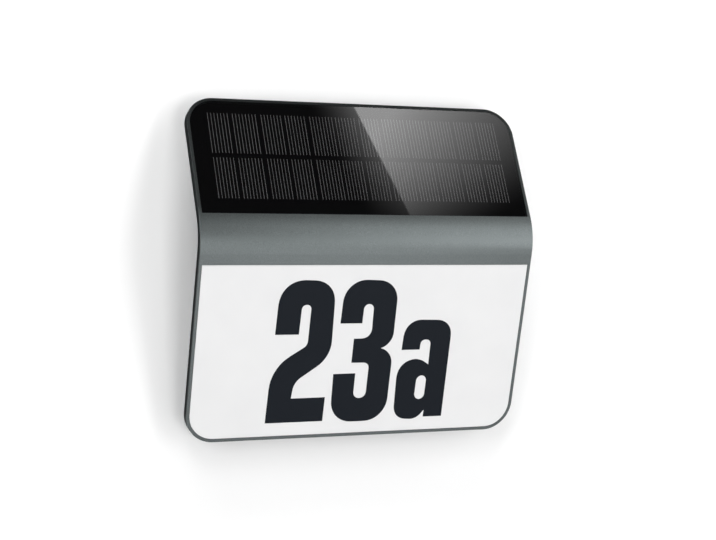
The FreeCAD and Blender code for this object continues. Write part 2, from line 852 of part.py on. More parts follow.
def make_rear_housing():
    body = new_body("rear_housing")
    sketch = plane_at(body, TUB_BACK)
    draw(sketch, tub_outline(0))
    pad(body, sketch, FAR)
    sketch = plane_at(body, TUB_INNER)
    draw(sketch, tub_outline(size.tub_wall))
    pocket(body, sketch, FAR, reverse=True)
    # walls of the bracket bay, of the well round the tab and of the two hook pockets
    wall = size.bay_wall
    box_in(
        body, -BAY_HALF - wall, BAY_HALF + wall, TUB_BOTTOM, BAY_TOP + wall, TUB_BACK, BAY_INNER
    )
    box_in(
        body, -WELL_HALF - wall, WELL_HALF + wall, TUB_BOTTOM, WELL_TOP + wall,
        TUB_BACK, WELL_FLOOR - wall,
    )
    for side in SIDES:
        left = size.hook_across * side - SLOT_HALF
        right = size.hook_across * side + SLOT_HALF
        box_in(
            body, left - wall, right + wall, SLOT_BOTTOM - wall, HOOK_ROOM_TOP + wall,
            TUB_BACK, HOOK_ROOM_FLOOR - wall,
        )
    # battery compartment: a frame round the door, a box for the cell, a post at each end
    middle = size.battery_across
    frame = DOOR_HALF + size.slip + size.door_frame
    frame_long = DOOR_HALF_LONG + size.slip + size.door_frame
    box_in(
        body, middle - frame, middle + frame, -frame_long, frame_long,
        TUB_BACK, LEDGE - size.box_wall,
    )
    half = BOX_HALF + size.box_wall
    long = BOX_HALF_LONG + size.box_wall
    box_in(
        body, middle - half, middle + half, -long, long, TUB_BACK, BOX_FLOOR - size.box_wall
    )
    sketch = plane_at(body, LEDGE)
    for side in SIDES:
        draw_circle(sketch, middle, DOOR_SCREW_Z * side, size.door_screw_radius + size.box_wall)
    pad(body, sketch, size.door_screw_long + size.box_wall)
    # posts of the control board, and the posts of the housing screws
    sketch = plane_at(body, TUB_BACK)
    for x, z in board_posts():
        draw_circle(sketch, x, z, size.board_post_radius)
    pad(body, sketch, size.tub_wall + size.board_stand)
    for x, z in POSTS:
        sketch = plane_at(body, TUB_BACK)
        for side in SIDES:
            draw_circle(sketch, x * side, z, size.post_radius)
        pad(body, sketch, TUB_BACK - post_meet(z))
    # the open front follows the bent back of the front housing, less the seal
    trim_bent(body, SHELL + size.seal_thick, front=True)
    # the bay, the well and the hook slots with their undercut rooms
    box_in(body, -BAY_HALF, BAY_HALF, BAY_BOTTOM, BAY_TOP, sized(0), BAY_FLOOR, cutting=True)
    box_in(body, -WELL_HALF, WELL_HALF, BAY_BOTTOM, WELL_TOP, sized(0), WELL_FLOOR, cutting=True)
    for side in SIDES:
        left = size.hook_across * side - SLOT_HALF
        right = size.hook_across * side + SLOT_HALF
        box_in(body, left, right, SLOT_BOTTOM, SLOT_TOP, sized(0), HOOK_ROOM_FLOOR, cutting=True)
        box_in(
            body, left, right, SLOT_BOTTOM, HOOK_ROOM_TOP, BAY_INNER, HOOK_ROOM_FLOOR, cutting=True
        )
    # the battery's door recess and box
    door = DOOR_HALF + size.slip
    door_long = DOOR_HALF_LONG + size.slip
    box_in(
        body, middle - door, middle + door, -door_long, door_long, sized(0), LEDGE, cutting=True
    )
    box_in(
        body, middle - BOX_HALF, middle + BOX_HALF, -BOX_HALF_LONG, BOX_HALF_LONG,
        sized(0), BOX_FLOOR, cutting=True,
    )
    sketch = plane_at(body, LEDGE)
    for side in SIDES:
        draw_circle(sketch, middle, DOOR_SCREW_Z * side, size.door_screw_radius + size.thread_gap)
    pocket(body, sketch, size.door_screw_long, reverse=True)
    # screw holes in the posts
    sketch = plane_at(body, TUB_INNER - size.board_stand)
    for x, z in board_posts():
        draw_circle(sketch, x, z, size.board_screw_radius + size.thread_gap)
    pocket(body, sketch, size.board_stand)
    for x, z in POSTS:
        seat = post_meet(z) + size.screw_head_seat
        for radius, start, stop in (
            (size.screw_head_radius + size.slip, sized(0), seat),
            (size.through_radius, seat, post_meet(z)),
        ):
            sketch = plane_at(body, start)
            for side in SIDES:
                draw_circle(sketch, x * side, z, radius)
            pocket(body, sketch, start - stop, reverse=True)
    # a hole through each end of the battery box for its lead
    for side in SIDES:
        sketch = sketch_on(body, "XY_Plane", out=BOX_HALF_LONG * side)
        draw_circle(sketch, size.battery_across, BATTERY_LEAD_Y, size.lead_radius + size.slip / 2)
        pocket(body, sketch, size.box_wall, reverse=side > 0)
    # hole of the lock screw and slot of the mode switch, both in the bottom wall
    sketch = sketch_on(body, "XY_Plane", out=TUB_BOTTOM)
    draw_circle(sketch, 0, -size.lock_back, size.lock_radius + size.slip)
    pocket(body, sketch, BAY_BOTTOM - TUB_BOTTOM, reverse=True)
    sketch = sketch_on(body, "XY_Plane", out=TUB_BOTTOM)
    deep = size.knob_deep / 2 + size.slip
    middle = -size.switch_across
    front = SWITCH_Y - deep
    draw(sketch, rectangle(middle - KNOB_ROOM, middle + KNOB_ROOM, front, front + deep * 2))
    pocket(body, sketch, size.tub_wall, reverse=True)
    return body


def board_posts():
    """Centres of the control board's two posts, at opposite corners."""
    across = size.board_half_wide - size.board_post_inset
    up = size.board_half_tall - size.board_post_inset
    return [(-size.board_across + across * side, up * side) for side in SIDES]


def make_housing_seal():
    body = new_body("housing_seal")
    sketch = plane_at(body, 0)
    draw(sketch, tub_outline(0))
    draw(sketch, tub_outline(size.tub_wall))
    pad(body, sketch, FAR)
    trim_bent(body, SHELL, front=True)
    trim_bent(body, SHELL + size.seal_thick, front=False)
    return body


def make_housing_screws():
    screws = []
    for x, z in POSTS:
        seat = post_meet(z) + size.screw_head_seat
        for side in SIDES:
            head = rod(
                x * side, seat + size.screw_head_tall, z,
                size.screw_head_radius, size.screw_head_tall, "-y",
            )
            shank = rod(
                x * side, seat, z, size.screw_radius, size.screw_head_seat + size.screw_long, "-y"
            )
            screws.append(fused([head, shank]))
    return grouped(screws, "housing_screws")


# ---------------------------------------------------------------- battery, door and contacts


def make_battery():
    middle = size.battery_across
    low = -(size.cell_long / 2)
    can = rod(middle, -size.battery_back, low, size.cell_radius, size.cell_long - size.nub_tall)
    nub = rod(middle, -size.battery_back, low, size.nub_radius, size.cell_long)
    keep(fused([can, nub]), "battery_cell")
    # a plate with a button at the top end, a bent leaf at the bottom end
    half = size.cell_radius / 2
    button = rod(
        middle, -size.battery_back, size.cell_long / 2, size.nub_radius,
        size.contact_room - size.contact_sheet,
    )
    plate = block(
        middle - half, middle + half, -size.battery_back - half, -size.battery_back + half,
        BOX_HALF_LONG - size.contact_sheet, BOX_HALF_LONG,
    )
    leaf = doc.addObject("PartDesign::Body", "leaf")
    sketch = sketch_on(leaf, "YZ_Plane", out=middle - half)
    thick = size.contact_sheet
    front = -size.battery_back - half
    back = -size.battery_back + half
    foot = -BOX_HALF_LONG
    draw(
        sketch,
        [
            Step(back, foot),
            Step(back, foot + thick),
            Step(front + thick * 2, foot + thick),
            Step(-size.battery_back + thick, low - thick),
            Step(back, low - thick),
            Step(back, low),
            Step(-size.battery_back, low),
            Step(front, foot + thick),
            Step(front, foot),
        ],
    )
    pad(leaf, sketch, half * 2)
    grouped([fused([button, plate]), leaf], "battery_contacts")


def make_battery_door():
    middle = size.battery_across
    body = new_body("battery_door")
    box_in(
        body, middle - DOOR_HALF, middle + DOOR_HALF, -DOOR_HALF_LONG, DOOR_HALF_LONG,
        TUB_BACK, DOOR_SEAT, corner=size.box_wall,
    )
    for radius, deep in (
        (size.door_screw_head + size.slip, size.door_thick / 2),
        (size.door_screw_radius + size.slip / 2, size.door_thick),
    ):
        sketch = plane_at(body, TUB_BACK)
        for side in SIDES:
            draw_circle(sketch, middle, DOOR_SCREW_Z * side, radius)
        pocket(body, sketch, deep, reverse=True)
    # grip grooves across the outside
    half = BOX_HALF / 2
    for index in range(GRIPS):
        up = size.grip_pitch * (index - (GRIPS - 1) / 2)
        box_in(
            body, middle - half, middle + half, up - size.grip_wide / 2, up + size.grip_wide / 2,
            TUB_BACK, TUB_BACK - size.grip_deep, cutting=True,
        )
    body = new_body("door_seal")
    sketch = plane_at(body, DOOR_SEAT)
    for grow in (size.slip, SEAL_GROW):
        half = BOX_HALF + grow
        long = BOX_HALF_LONG + grow
        draw(sketch, rectangle(middle - half, middle + half, -long, long))
    pad(body, sketch, size.door_seal_thick)
    screws = []
    for side in SIDES:
        seat = TUB_BACK - size.door_thick / 2
        z = DOOR_SCREW_Z * side
        head = rod(middle, TUB_BACK, z, size.door_screw_head, size.door_thick / 2, "-y")
        long = size.door_thick / 2 + size.door_seal_thick + size.door_screw_long - size.slip
        shank = rod(middle, seat, z, size.door_screw_radius, long, "-y")
        screws.append(fused([head, shank]))
    grouped(screws, "door_screws")


# ---------------------------------------------------------------- control board

BOARD_BACK = TUB_INNER - size.board_stand
BOARD_FRONT = BOARD_BACK - size.board_thick


def make_control_board():
    middle = -size.board_across
    body = new_body("control_board")
    wide = size.board_half_wide
    tall = size.board_half_tall
    box_in(
        body, middle - wide, middle + wide, -tall, tall, BOARD_BACK, BOARD_FRONT,
        corner=size.board_corner,
    )
    sketch = plane_at(body, BOARD_BACK)
    for x, z in board_posts():
        draw_circle(sketch, x, z, size.board_screw_radius + size.slip / 2)
    pocket(body, sketch, size.board_thick, reverse=True)
    screws = []
    for x, z in board_posts():
        head = rod(x, BOARD_FRONT, z, size.board_screw_head, size.board_screw_head_tall, "-y")
        long = size.board_thick + size.board_stand - size.slip
        shank = rod(x, BOARD_FRONT + long, z, size.board_screw_radius, long, "-y")
        screws.append(fused([head, shank]))
    grouped(screws, "board_screws")


Part_on_board = namedtuple("Part_on_board", "across up wide tall out")
# what stands on the front of the control board, from its centre, in steps of the board's grid
CHIPS = {
    "controller": Part_on_board(-2.0, 4.0, 6.0, 5.0, 1.6),
    "charger": Part_on_board(5.0, 12.0, 4.0, 5.0, 1.4),
    "driver": Part_on_board(4.0, -6.0, 4.0, 3.0, 1.3),
    "coil": Part_on_board(-5.0, -9.0, 6.0, 6.0, 3.2),
    "solar_socket": Part_on_board(-4.0, 25.0, 8.0, 5.0, 5.8),
    "lamp_socket": Part_on_board(-4.0, -25.0, 8.0, 5.0, 5.8),
    "battery_socket": Part_on_board(9.5, 0.0, 5.0, 8.0, 5.8),
}
CAPACITOR = Part_on_board(-8.0, 15.0, 6.4, 6.4, 7.0)


def on_grid(part):
    """A board part's place and sizes in millimetres, from the middle of the light."""
    across, up, wide, tall, out = (size.board_grid * number for number in part)
    return Part_on_board(across - size.board_across, up, wide, tall, out)


def chip_block(name):
    chip = on_grid(CHIPS[name])
    left = chip.across - chip.wide / 2
    low = chip.up - chip.tall / 2
    return block(
        left, left + chip.wide, BOARD_FRONT - chip.out, BOARD_FRONT, low, low + chip.tall
    )


def make_board_parts():
    chips = [chip_block(name) for name in CHIPS]
    can = on_grid(CAPACITOR)
    chips.append(rod(can.across, BOARD_FRONT, can.up, can.wide / 2, can.out, "-y"))
    return grouped(chips, "board_components")


# ---------------------------------------------------------------- mode switch


def make_switch():
    middle = -size.switch_across
    floor = TUB_BOTTOM + size.tub_wall
    wide = size.switch_wide / 2
    deep = size.switch_deep / 2
    case = block(
        middle - wide, middle + wide, SWITCH_Y - deep, SWITCH_Y + deep,
        floor, floor + size.switch_tall,
    )
    room = size.knob_deep / 2 + size.knob_slip
    groove = block(
        middle - KNOB_ROOM, middle + KNOB_ROOM, SWITCH_Y - room, SWITCH_Y + room,
        TUB_BOTTOM, floor + size.knob_in + size.slip,
    )
    keep(cut(case, groove), "switch_body")
    half = size.knob_deep / 2
    knob = new_body("switch_knob")
    sketch = sketch_on(knob, "XY_Plane", out=TUB_BOTTOM - size.knob_out)
    outline = rectangle(
        middle - KNOB_HALF, middle + KNOB_HALF, SWITCH_Y - half, SWITCH_Y + half
    )
    draw(sketch, outline)
    pad(knob, sketch, size.knob_out + size.tub_wall + size.knob_in)


# ---------------------------------------------------------------- wall bracket and lock screw


def runs_across(edge, lines):
    """Whether both ends of an edge lie on one of the lines along x, each given by its y and z."""
    ends = [vertex.Point for vertex in edge.Vertexes]
    return any(
        all(math.hypot(end.y - y.value, end.z - z.value) < ON_FACE for end in ends)
        for y, z in lines
    )


def make_wall_bracket():
    body = new_body("wall_bracket")
    thick = size.plate_thick
    half = size.plate_half_wide
    box_in(
        body, -half, half, -size.plate_bottom, size.plate_top, sized(0), -thick,
        corner=size.plate_corner,
    )
    # the hooks: each runs forward from the top edge and turns up behind the bay's wall
    for side in SIDES:
        left = size.hook_across * side - HOOK_HALF
        right = size.hook_across * side + HOOK_HALF
        box_in(body, left, right, NECK_LOW, size.plate_top, sized(0), LIP_FRONT)
        box_in(body, left, right, NECK_LOW, LIP_TOP, LIP_BACK, LIP_FRONT)
    # the tab that the lock screw enters from below
    tab = size.tab_half_wide
    box_in(
        body, -tab, tab, -size.plate_bottom, -size.plate_bottom + thick, sized(0), -size.tab_reach
    )
    # the bends of the sheet metal, inside and outside
    outside = [(LIP_FRONT, NECK_LOW)]
    inside = [
        (-thick, NECK_LOW),
        (LIP_BACK, size.plate_top),
        (-thick, -size.plate_bottom + thick),
    ]
    fillet(body, size.bend_inside, lambda middle, edge: runs_across(edge, inside))
    fillet(body, size.bend_inside + thick, lambda middle, edge: runs_across(edge, outside))
    sketch = sketch_on(body, "XY_Plane", out=-size.plate_bottom)
    draw_circle(sketch, 0, -size.lock_back, size.lock_radius + size.slip)
    pocket(body, sketch, thick, reverse=True)
    sketch = plane_at(body, 0)
    for x in SIDES:
        for z in SIDES:
            across = size.wall_hole_across / 2 * x
            draw_circle(sketch, across, size.wall_hole_up / 2 * z, size.wall_hole_radius)
    pocket(body, sketch, thick, reverse=True)
    return body


def make_lock_screw():
    top = -size.plate_bottom + size.plate_thick + size.lock_past_tab
    head = rod(
        0, -size.lock_back, TUB_BOTTOM - size.lock_head_tall,
        size.lock_head_radius, size.lock_head_tall,
    )
    shank = rod(0, -size.lock_back, TUB_BOTTOM, size.lock_radius, top - TUB_BOTTOM)
    return keep(fused([head, shank]), "lock_screw")


# ---------------------------------------------------------------- leads inside the light


def rounded_route(points):
    """Straight runs through the points, joined by tangent arcs."""
    edges = []
    start = points[0]
    last_corner = len(points) - 2
    for index, corner in enumerate(points[1:-1], 1):
        before = points[index - 1]
        after = points[index + 1]
        back = (before - corner).normalize()
        onward = (after - corner).normalize()
        turn = math.pi - back.getAngle(onward)
        reach = min(
            corner.distanceToPoint(before) * (END_SHARE if index == 1 else INNER_SHARE),
            corner.distanceToPoint(after) * (END_SHARE if index == last_corner else INNER_SHARE),
        )
        radius = reach / math.tan(turn / 2)
        arc_start = corner + back * reach
        arc_stop = corner + onward * reach
        inward = (back + onward).normalize()
        arc_middle = corner + inward * (radius / math.cos(turn / 2) - radius)
        edges.append(Part.LineSegment(start, arc_start).toShape())
        edges.append(Part.Arc(arc_start, arc_middle, arc_stop).toShape())
        print(f"  lead turns by {math.degrees(turn):.0f} degrees on a radius of {radius:.1f} mm")
        start = arc_stop
    edges.append(Part.LineSegment(start, points[-1]).toShape())
    return Part.Wire(edges)


def lead(points):
    """A lead along a route of points; its section has enough sides to look round."""
    route = rounded_route([FreeCAD.Vector(*(sized(axis).value for axis in point)) for point in points])
    start = route.Edges[0].valueAt(route.Edges[0].FirstParameter)
    along = route.Edges[0].tangentAt(route.Edges[0].FirstParameter)
    aside = along.cross(FreeCAD.Vector(1, 1, 1)).normalize() * size.lead_radius.value
    turned = [FreeCAD.Rotation(along, 360 * side / LEAD_SIDES) for side in range(LEAD_SIDES)]
    corners = [start + turn.multVec(aside) for turn in turned]
    ring = Part.makePolygon(corners + corners[:1])
    solid = route.makePipeShell([ring], True, False)
    full = Part.Face(ring).Area * route.Length
    if abs(solid.Volume - full) > SWEEP_SLACK * full:
        raise RuntimeError(f"a lead has {solid.Volume:.1f} mm3 and not {full:.1f}")
    return solid


def lead_pair(routes, label):
    """A sub-part of leads, each along its own route."""
    item = doc.addObject("Part::Feature", label)
    item.Shape = Part.makeCompound([lead(route) for route in routes])
    item.Placement = FreeCAD.Placement()
    return keep(item, label)


def side_by_side(route, label):
    """Two leads along one route, each beside its middle."""
    routes = []
    for side in SIDES:
        aside = size.lead_apart / 2 * side
        routes.append([(x + aside, y, z) for x, y, z in route])
    return lead_pair(routes, label)


def socket_mouth(name):
    """A point straight in front of a socket, and the middle of the socket's front."""
    chip = on_grid(CHIPS[name])
    front = BOARD_FRONT - chip.out
    return [(chip.across, front - size.lead_stand, chip.up), (chip.across, front, chip.up)]


def make_leads():
    up = lead_hole_up()
    solder = GLASS_RECESS - size.tape_thick
    route = [
        (lead_hole_x(), *on_upper(up, solder)),
        (lead_hole_x(), *on_upper(up, solder + size.lead_stand)),
    ]
    side_by_side(route + socket_mouth("solar_socket"), "solar_leads")
    down = -lamp_lead_up()
    route = [
        (lamp_lead_x(), *on_lower(down, STRIP_BACK)),
        (lamp_lead_x(), *on_lower(down, STRIP_BACK + size.lead_stand)),
    ]
    side_by_side(route + socket_mouth("lamp_socket"), "led_leads")
    # the battery's two leads leave its box at the ends and meet at their socket
    out = BOX_HALF_LONG + size.battery_lead_stand
    routes = []
    for side in SIDES:
        aside = size.lead_apart / 2 * side
        route = [
            (size.battery_across, BATTERY_LEAD_Y, BOX_HALF_LONG * side),
            (size.battery_across, BATTERY_LEAD_Y, out * side),
        ]
        route += [(x, y, z + aside) for x, y, z in socket_mouth("battery_socket")]
        routes.append(route)
    lead_pair(routes, "battery_leads")


# ---------------------------------------------------------------- build, check and write

make_front_housing()
make_solar_panel()
make_number_panel()
make_lamp_strip()
make_rear_housing()
make_housing_seal()
make_housing_screws()
make_battery()
make_battery_door()
make_control_board()
make_board_parts()
make_switch()
make_wall_bracket()
make_lock_screw()
make_leads()
doc.recompute()

for item in doc.Objects:
    if {"Invalid", "Error"} & set(item.State):
        raise RuntimeError(f"{item.Label} ({item.Name}) failed: {item.State}")
for item in nodes:
    if item.Shape.isNull() or not item.Shape.isValid() or not item.Shape.Solids:
        raise RuntimeError(f"{item.Label} has no valid solid")

os.makedirs("parts", exist_ok=True)
for item in nodes:
    item.Shape.exportStep(f"parts/{item.Label}.step")
    print(f"{item.Label}: {len(item.Shape.Solids)} solids, {item.Shape.Volume:.1f} mm3")
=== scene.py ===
import json
import math

import bmesh
import bpy
from mathutils import Matrix, Vector

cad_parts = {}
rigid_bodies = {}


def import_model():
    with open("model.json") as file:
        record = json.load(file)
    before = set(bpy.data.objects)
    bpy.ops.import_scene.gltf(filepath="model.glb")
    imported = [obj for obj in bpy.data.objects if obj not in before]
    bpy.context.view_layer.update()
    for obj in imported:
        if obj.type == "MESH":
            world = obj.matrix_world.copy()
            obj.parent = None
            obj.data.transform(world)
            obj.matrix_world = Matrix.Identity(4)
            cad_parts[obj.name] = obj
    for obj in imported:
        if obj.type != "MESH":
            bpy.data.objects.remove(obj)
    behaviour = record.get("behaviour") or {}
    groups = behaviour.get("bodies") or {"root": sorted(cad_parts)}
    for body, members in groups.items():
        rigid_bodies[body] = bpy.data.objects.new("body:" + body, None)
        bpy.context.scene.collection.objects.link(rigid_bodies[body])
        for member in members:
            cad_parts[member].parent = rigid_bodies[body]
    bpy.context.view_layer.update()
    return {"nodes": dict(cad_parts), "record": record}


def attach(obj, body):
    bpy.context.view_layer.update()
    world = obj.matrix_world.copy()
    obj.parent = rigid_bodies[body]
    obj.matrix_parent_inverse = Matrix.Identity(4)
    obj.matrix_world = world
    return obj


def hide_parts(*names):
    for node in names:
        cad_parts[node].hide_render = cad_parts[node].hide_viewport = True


# Solar house number light on a white wall. Metres: the wall is near the plane y = 0, the front
# faces -Y, +Z is up and +X is to the right seen from the front.

for item in list(bpy.data.objects):
    bpy.data.objects.remove(item)
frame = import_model()
NODES = frame["nodes"]
MM = 0.001
# points closer than this in a direction lie in one plane, and closer than the second are one point
SAME_PLANE = 0.01 * MM
SAME_POINT = 0.001 * MM


# ---------------------------------------------------------------- camera

# fitted to the edges of the photograph: metres, degrees to the right and down, millimetres
CAMERA_PLACE = Vector((-0.3734, -0.8936, 0.0065))
CAMERA_AZIMUTH = 23.27
CAMERA_DOWN = 0.401
CAMERA_LENS = 79.9


def make_camera():
    data = bpy.data.cameras.new("camera")
    data.lens = CAMERA_LENS
    camera = bpy.data.objects.new("camera", data)
    camera.location = CAMERA_PLACE
    camera.rotation_euler = (math.radians(90 - CAMERA_DOWN), 0, -math.radians(CAMERA_AZIMUTH))
    bpy.context.scene.collection.objects.link(camera)
    bpy.context.scene.camera = camera


# ---------------------------------------------------------------- flat faces of the frame

# a polygon faces the front where its normal's share along +Y is below this
FACES_FRONT = -0.5


class Face:
    """A node's flat front: its lower edge's middle, its height, and its three directions."""

    def __init__(self, node):
        mesh = NODES[node].data
        fronts = [polygon for polygon in mesh.polygons if polygon.normal.y < FACES_FRONT]
        largest = max(fronts, key=lambda polygon: polygon.area)
        self.across = Vector((1, 0, 0))
        self.out = largest.normal.copy()
        self.up = self.out.cross(self.across)
        points = [
            vertex.co for vertex in mesh.vertices
            if abs((vertex.co - largest.center).dot(self.out)) < SAME_PLANE
        ]
        low = min(point.dot(self.up) for point in points)
        high = max(point.dot(self.up) for point in points)
        left = min(point.x for point in points)
        right = max(point.x for point in points)
        self.height = high - low
        self.bottom = (
            self.across * ((left + right) / 2) + self.up * low
            + self.out * largest.center.dot(self.out)
        )

    def at(self, across, up, out=0.0):
        """A point from the middle of the face's lower edge."""
        return self.bottom + self.across * across + self.up * up + self.out * out

    def matrix(self, up=0.0, out=0.0):
        """Turns a flat drawing into the face's plane, its origin on the face's middle line."""
        turn = Matrix((self.across, self.up, self.out)).transposed().to_4x4()
        return Matrix.Translation(self.at(0, up, out)) @ turn


GLASS = Face("solar_glass")
PANEL = Face("number_panel")
CELLS = Face("solar_cells")


# ---------------------------------------------------------------- shader helpers


def linear(red, green, blue):
    """A colour from its values out of 255."""
    def channel(value):
        value = value / 255
        return value / 12.92 if value <= 0.04045 else ((value + 0.055) / 1.055) ** 2.4
    return (channel(red), channel(green), channel(blue))


class Shader:
    """Builds the nodes of one material or world."""

    def __init__(self, name=None, tree=None):
        if tree is None:
            self.material = bpy.data.materials.new(name)
            self.material.use_nodes = True
            tree = self.material.node_tree
        self.tree = tree
        self.surface = self.find("BsdfPrincipled")
        self.output = self.find("Output")

    def find(self, kind):
        """The first node of a kind, or None."""
        nodes = self.tree.nodes
        found = [node for node in nodes if node.bl_idname.startswith("ShaderNode" + kind)]
        return found[0] if found else None

    def add(self, kind, inputs=(), **settings):
        node = self.tree.nodes.new("ShaderNode" + kind)
        for name, value in settings.items():
            setattr(node, name, value)
        for key, value in dict(inputs).items():
            self.feed(value, node.inputs[key])
        return node

    def feed(self, value, socket):
        """Link an output to an input, or set the input. Colours come without alpha."""
        if isinstance(value, bpy.types.NodeSocket):
            self.tree.links.new(value, socket)
        elif socket.type == "RGBA":
            socket.default_value = (*value, 1.0)
        else:
            socket.default_value = value

    def show(self, surface):
        """Make a shader node the one that is seen."""
        self.tree.links.new(surface.outputs[0], self.output.inputs[0])

    def math(self, operation, *values):
        node = self.add("Math", operation=operation)
        for value, socket in zip(values, node.inputs):
            self.feed(value, socket)
        return node.outputs[0]

    def place(self, **mapping):
        """Object coordinates, which lie in the frame's place, after a mapping."""
        place = self.add("TexCoord").outputs["Object"]
        return self.add("Mapping", {"Vector": place, **mapping}).outputs[0]

    def noise(self, grain, detail=2.0, stretch=(1, 1, 1)):
        """Noise with a grain of that size, in metres."""
        keys = {"Vector": self.place(Scale=stretch), "Scale": 1 / grain, "Detail": detail}
        return self.add("TexNoise", keys).outputs["Fac"]

    def blend(self, amount, first, second):
        node = self.add("Mix", data_type="RGBA")
        self.feed(amount, node.inputs["Factor"])
        self.feed(first, node.inputs["A"])
        self.feed(second, node.inputs["B"])
        return node.outputs["Result"]

    def ranged(self, value, low, high, start=0.3, stop=0.7):
        """Value from start to stop as a number from low to high."""
        keys = {"Value": value, "From Min": start, "From Max": stop, "To Min": low, "To Max": high}
        return self.add("MapRange", keys).outputs[0]

    def ramp(self, value, stops):
        """Level by value, from 0 to 1, through stops of value and level."""
        node = self.add("ValToRGB", {0: value})
        elements = node.color_ramp.elements
        while len(elements) < len(stops):
            elements.new(0.5)
        for element, (place, level) in zip(elements, stops):
            element.position = place
            element.color = (level, level, level, 1)
        return node.outputs[0]

    def along(self, direction, origin):
        """Metres from the origin along a direction."""
        keys = {0: self.place(), 1: direction}
        length = self.add("VectorMath", keys, operation="DOT_PRODUCT").outputs["Value"]
        return self.math("SUBTRACT", length, origin.dot(direction))

    def bump(self, height, depth):
        return self.add("Bump", {"Height": height, "Distance": depth, "Strength": 1.0}).outputs[0]

    def set(self, **values):
        """Set inputs of the Principled surface, named with underscores."""
        for name, value in values.items():
            title = name.replace("_", " ").title().replace("Ior", "IOR")
            self.feed(value, self.surface.inputs[title])


def shade(colour, factor):
    return tuple(channel * factor for channel in colour)


# ---------------------------------------------------------------- grained surfaces

# a patch of even gloss is this many grains wide
PATCH_GRAINS = 24
# of each slot: colour, size of the grain, how much its tone spreads, depth of its relief, and
# roughness from patch to patch; sizes in millimetres
GRAINED = {
    "white_film": dict(
        colour=(0.86, 0.86, 0.86), grain=0.5, spread=0.02, depth=0.002, rough=(0.25, 0.35)
    ),
    "backsheet": dict(
        colour=(0.0026, 0.0026, 0.0027), grain=0.4, spread=0.1, depth=0.002, rough=(0.5, 0.6),
        Specular_ior_level=0.0,
    ),
    "tape": dict(colour=(0.02, 0.02, 0.02), grain=0.5, spread=0.3, depth=0.05, rough=(0.8, 0.95)),
    "rear_plastic": dict(
        colour=(0.06, 0.062, 0.065), grain=0.35, spread=0.15, depth=0.03, rough=(0.55, 0.58)
    ),
    "seal_rubber": dict(
        colour=(0.02, 0.02, 0.021), grain=0.6, spread=0.15, depth=0.01, rough=(0.6, 0.75)
    ),
    "battery_wrap": dict(
        colour=(0.03, 0.1, 0.24), grain=1.2, spread=0.06, depth=0.01, rough=(0.2, 0.3)
    ),
    "chips": dict(
        colour=(0.025, 0.025, 0.026), grain=0.2, spread=0.2, depth=0.02, rough=(0.45, 0.6)
    ),
    "white_plastic": dict(
        colour=(0.8, 0.8, 0.79), grain=0.5, spread=0.03, depth=0.01, rough=(0.4, 0.5)
    ),
    "switch_plastic": dict(
        colour=(0.03, 0.03, 0.031), grain=0.3, spread=0.12, depth=0.008, rough=(0.35, 0.45)
    ),
}


def grained(name, colour, grain, spread, depth, rough, **values):
    """A moulded or coated surface: tone and gloss vary a little, over a fine relief."""
    shader = Shader(name)
    fine = shader.noise(grain * MM, 3.0)
    broad = shader.noise(grain * MM * PATCH_GRAINS)
    dark = shade(colour, 1 - spread)
    light = shade(colour, 1 + spread)
    shader.set(
        Base_color=shader.blend(shader.ranged(fine, 0, 1), dark, light),
        Roughness=shader.ranged(broad, *rough),
        Normal=shader.bump(fine, depth * MM),
        **values,
    )
    return shader.material


# ---------------------------------------------------------------- other surfaces

# Painted shade: the paint's base colour is darkened on the rim round the glass, more towards its
# top; its level by the height in millimetres above the glass's lower edge. It starts at the first
# of two depths behind the glass's front and is full at the second.
RIM_SHADE_LEVELS = ((-8.0, 1.0), (0.0, 0.8), (5.0, 0.5), (35.0, 0.42), (60.0, 0.36), (71.5, 0.2))
RIM_SHADE_DEPTHS = (0.8, 0.2)


def rim_painted_shade(shader):
    """Level of the painted shade on the front's rim, 1 away from it."""
    low = RIM_SHADE_LEVELS[0][0]
    reach = RIM_SHADE_LEVELS[-1][0] - low
    height = shader.along(GLASS.up, GLASS.bottom)
    share = shader.ranged(height, 0, 1, low * MM, (low + reach) * MM)
    level = shader.ramp(share, [((up - low) / reach, level) for up, level in RIM_SHADE_LEVELS])
    depth = shader.along(GLASS.out, GLASS.bottom)
    front = shader.ranged(depth, 0, 1, -RIM_SHADE_DEPTHS[0] * MM, -RIM_SHADE_DEPTHS[1] * MM)
    return shader.blend(front, (1, 1, 1), level)


def front_paint():
    """Satin metallic grey paint with a fine sandy grain, and painted shade on the rim round the
    glass.
    """
    shader = Shader("front_paint")
    flake = shader.noise(0.35 * MM, 4.0)
    cloud = shader.noise(9 * MM, 2.0)
    dark = linear(82, 86, 87)
    light = linear(102, 108, 108)
    clouded = linear(88, 93, 93)
    tone = shader.blend(shader.ranged(flake, 0, 1, 0.35, 0.65), dark, light)
    tone = shader.blend(shader.ranged(cloud, 0.0, 0.25), tone, clouded)
    shader.set(
        # painted shade on the rim round the glass darkens the base colour
        Base_color=shader.blend(rim_painted_shade(shader), (0, 0, 0), tone),
        Metallic=0.85,
        Roughness=shader.ranged(flake, 0.3, 0.38),
        Normal=shader.bump(flake, 0.012 * MM),
    )
    return shader.material


def opal():
    """Opal white sheet with a fine satin front."""
    shader = Shader("opal")
    cloud = shader.noise(30 * MM, 2.0)
    satin = shader.noise(0.3 * MM, 2.0)
    dark = (0.82, 0.82, 0.824)
    light = (0.85, 0.85, 0.853)
    shader.set(
        Base_color=shader.blend(shader.ranged(cloud, 0, 1), dark, light),
        Roughness=shader.ranged(cloud, 0.42, 0.48),
        Normal=shader.bump(satin, 0.002 * MM),
        Specular_ior_level=0.3,
    )
    return shader.material


DOT_PITCH = 1.5 * MM


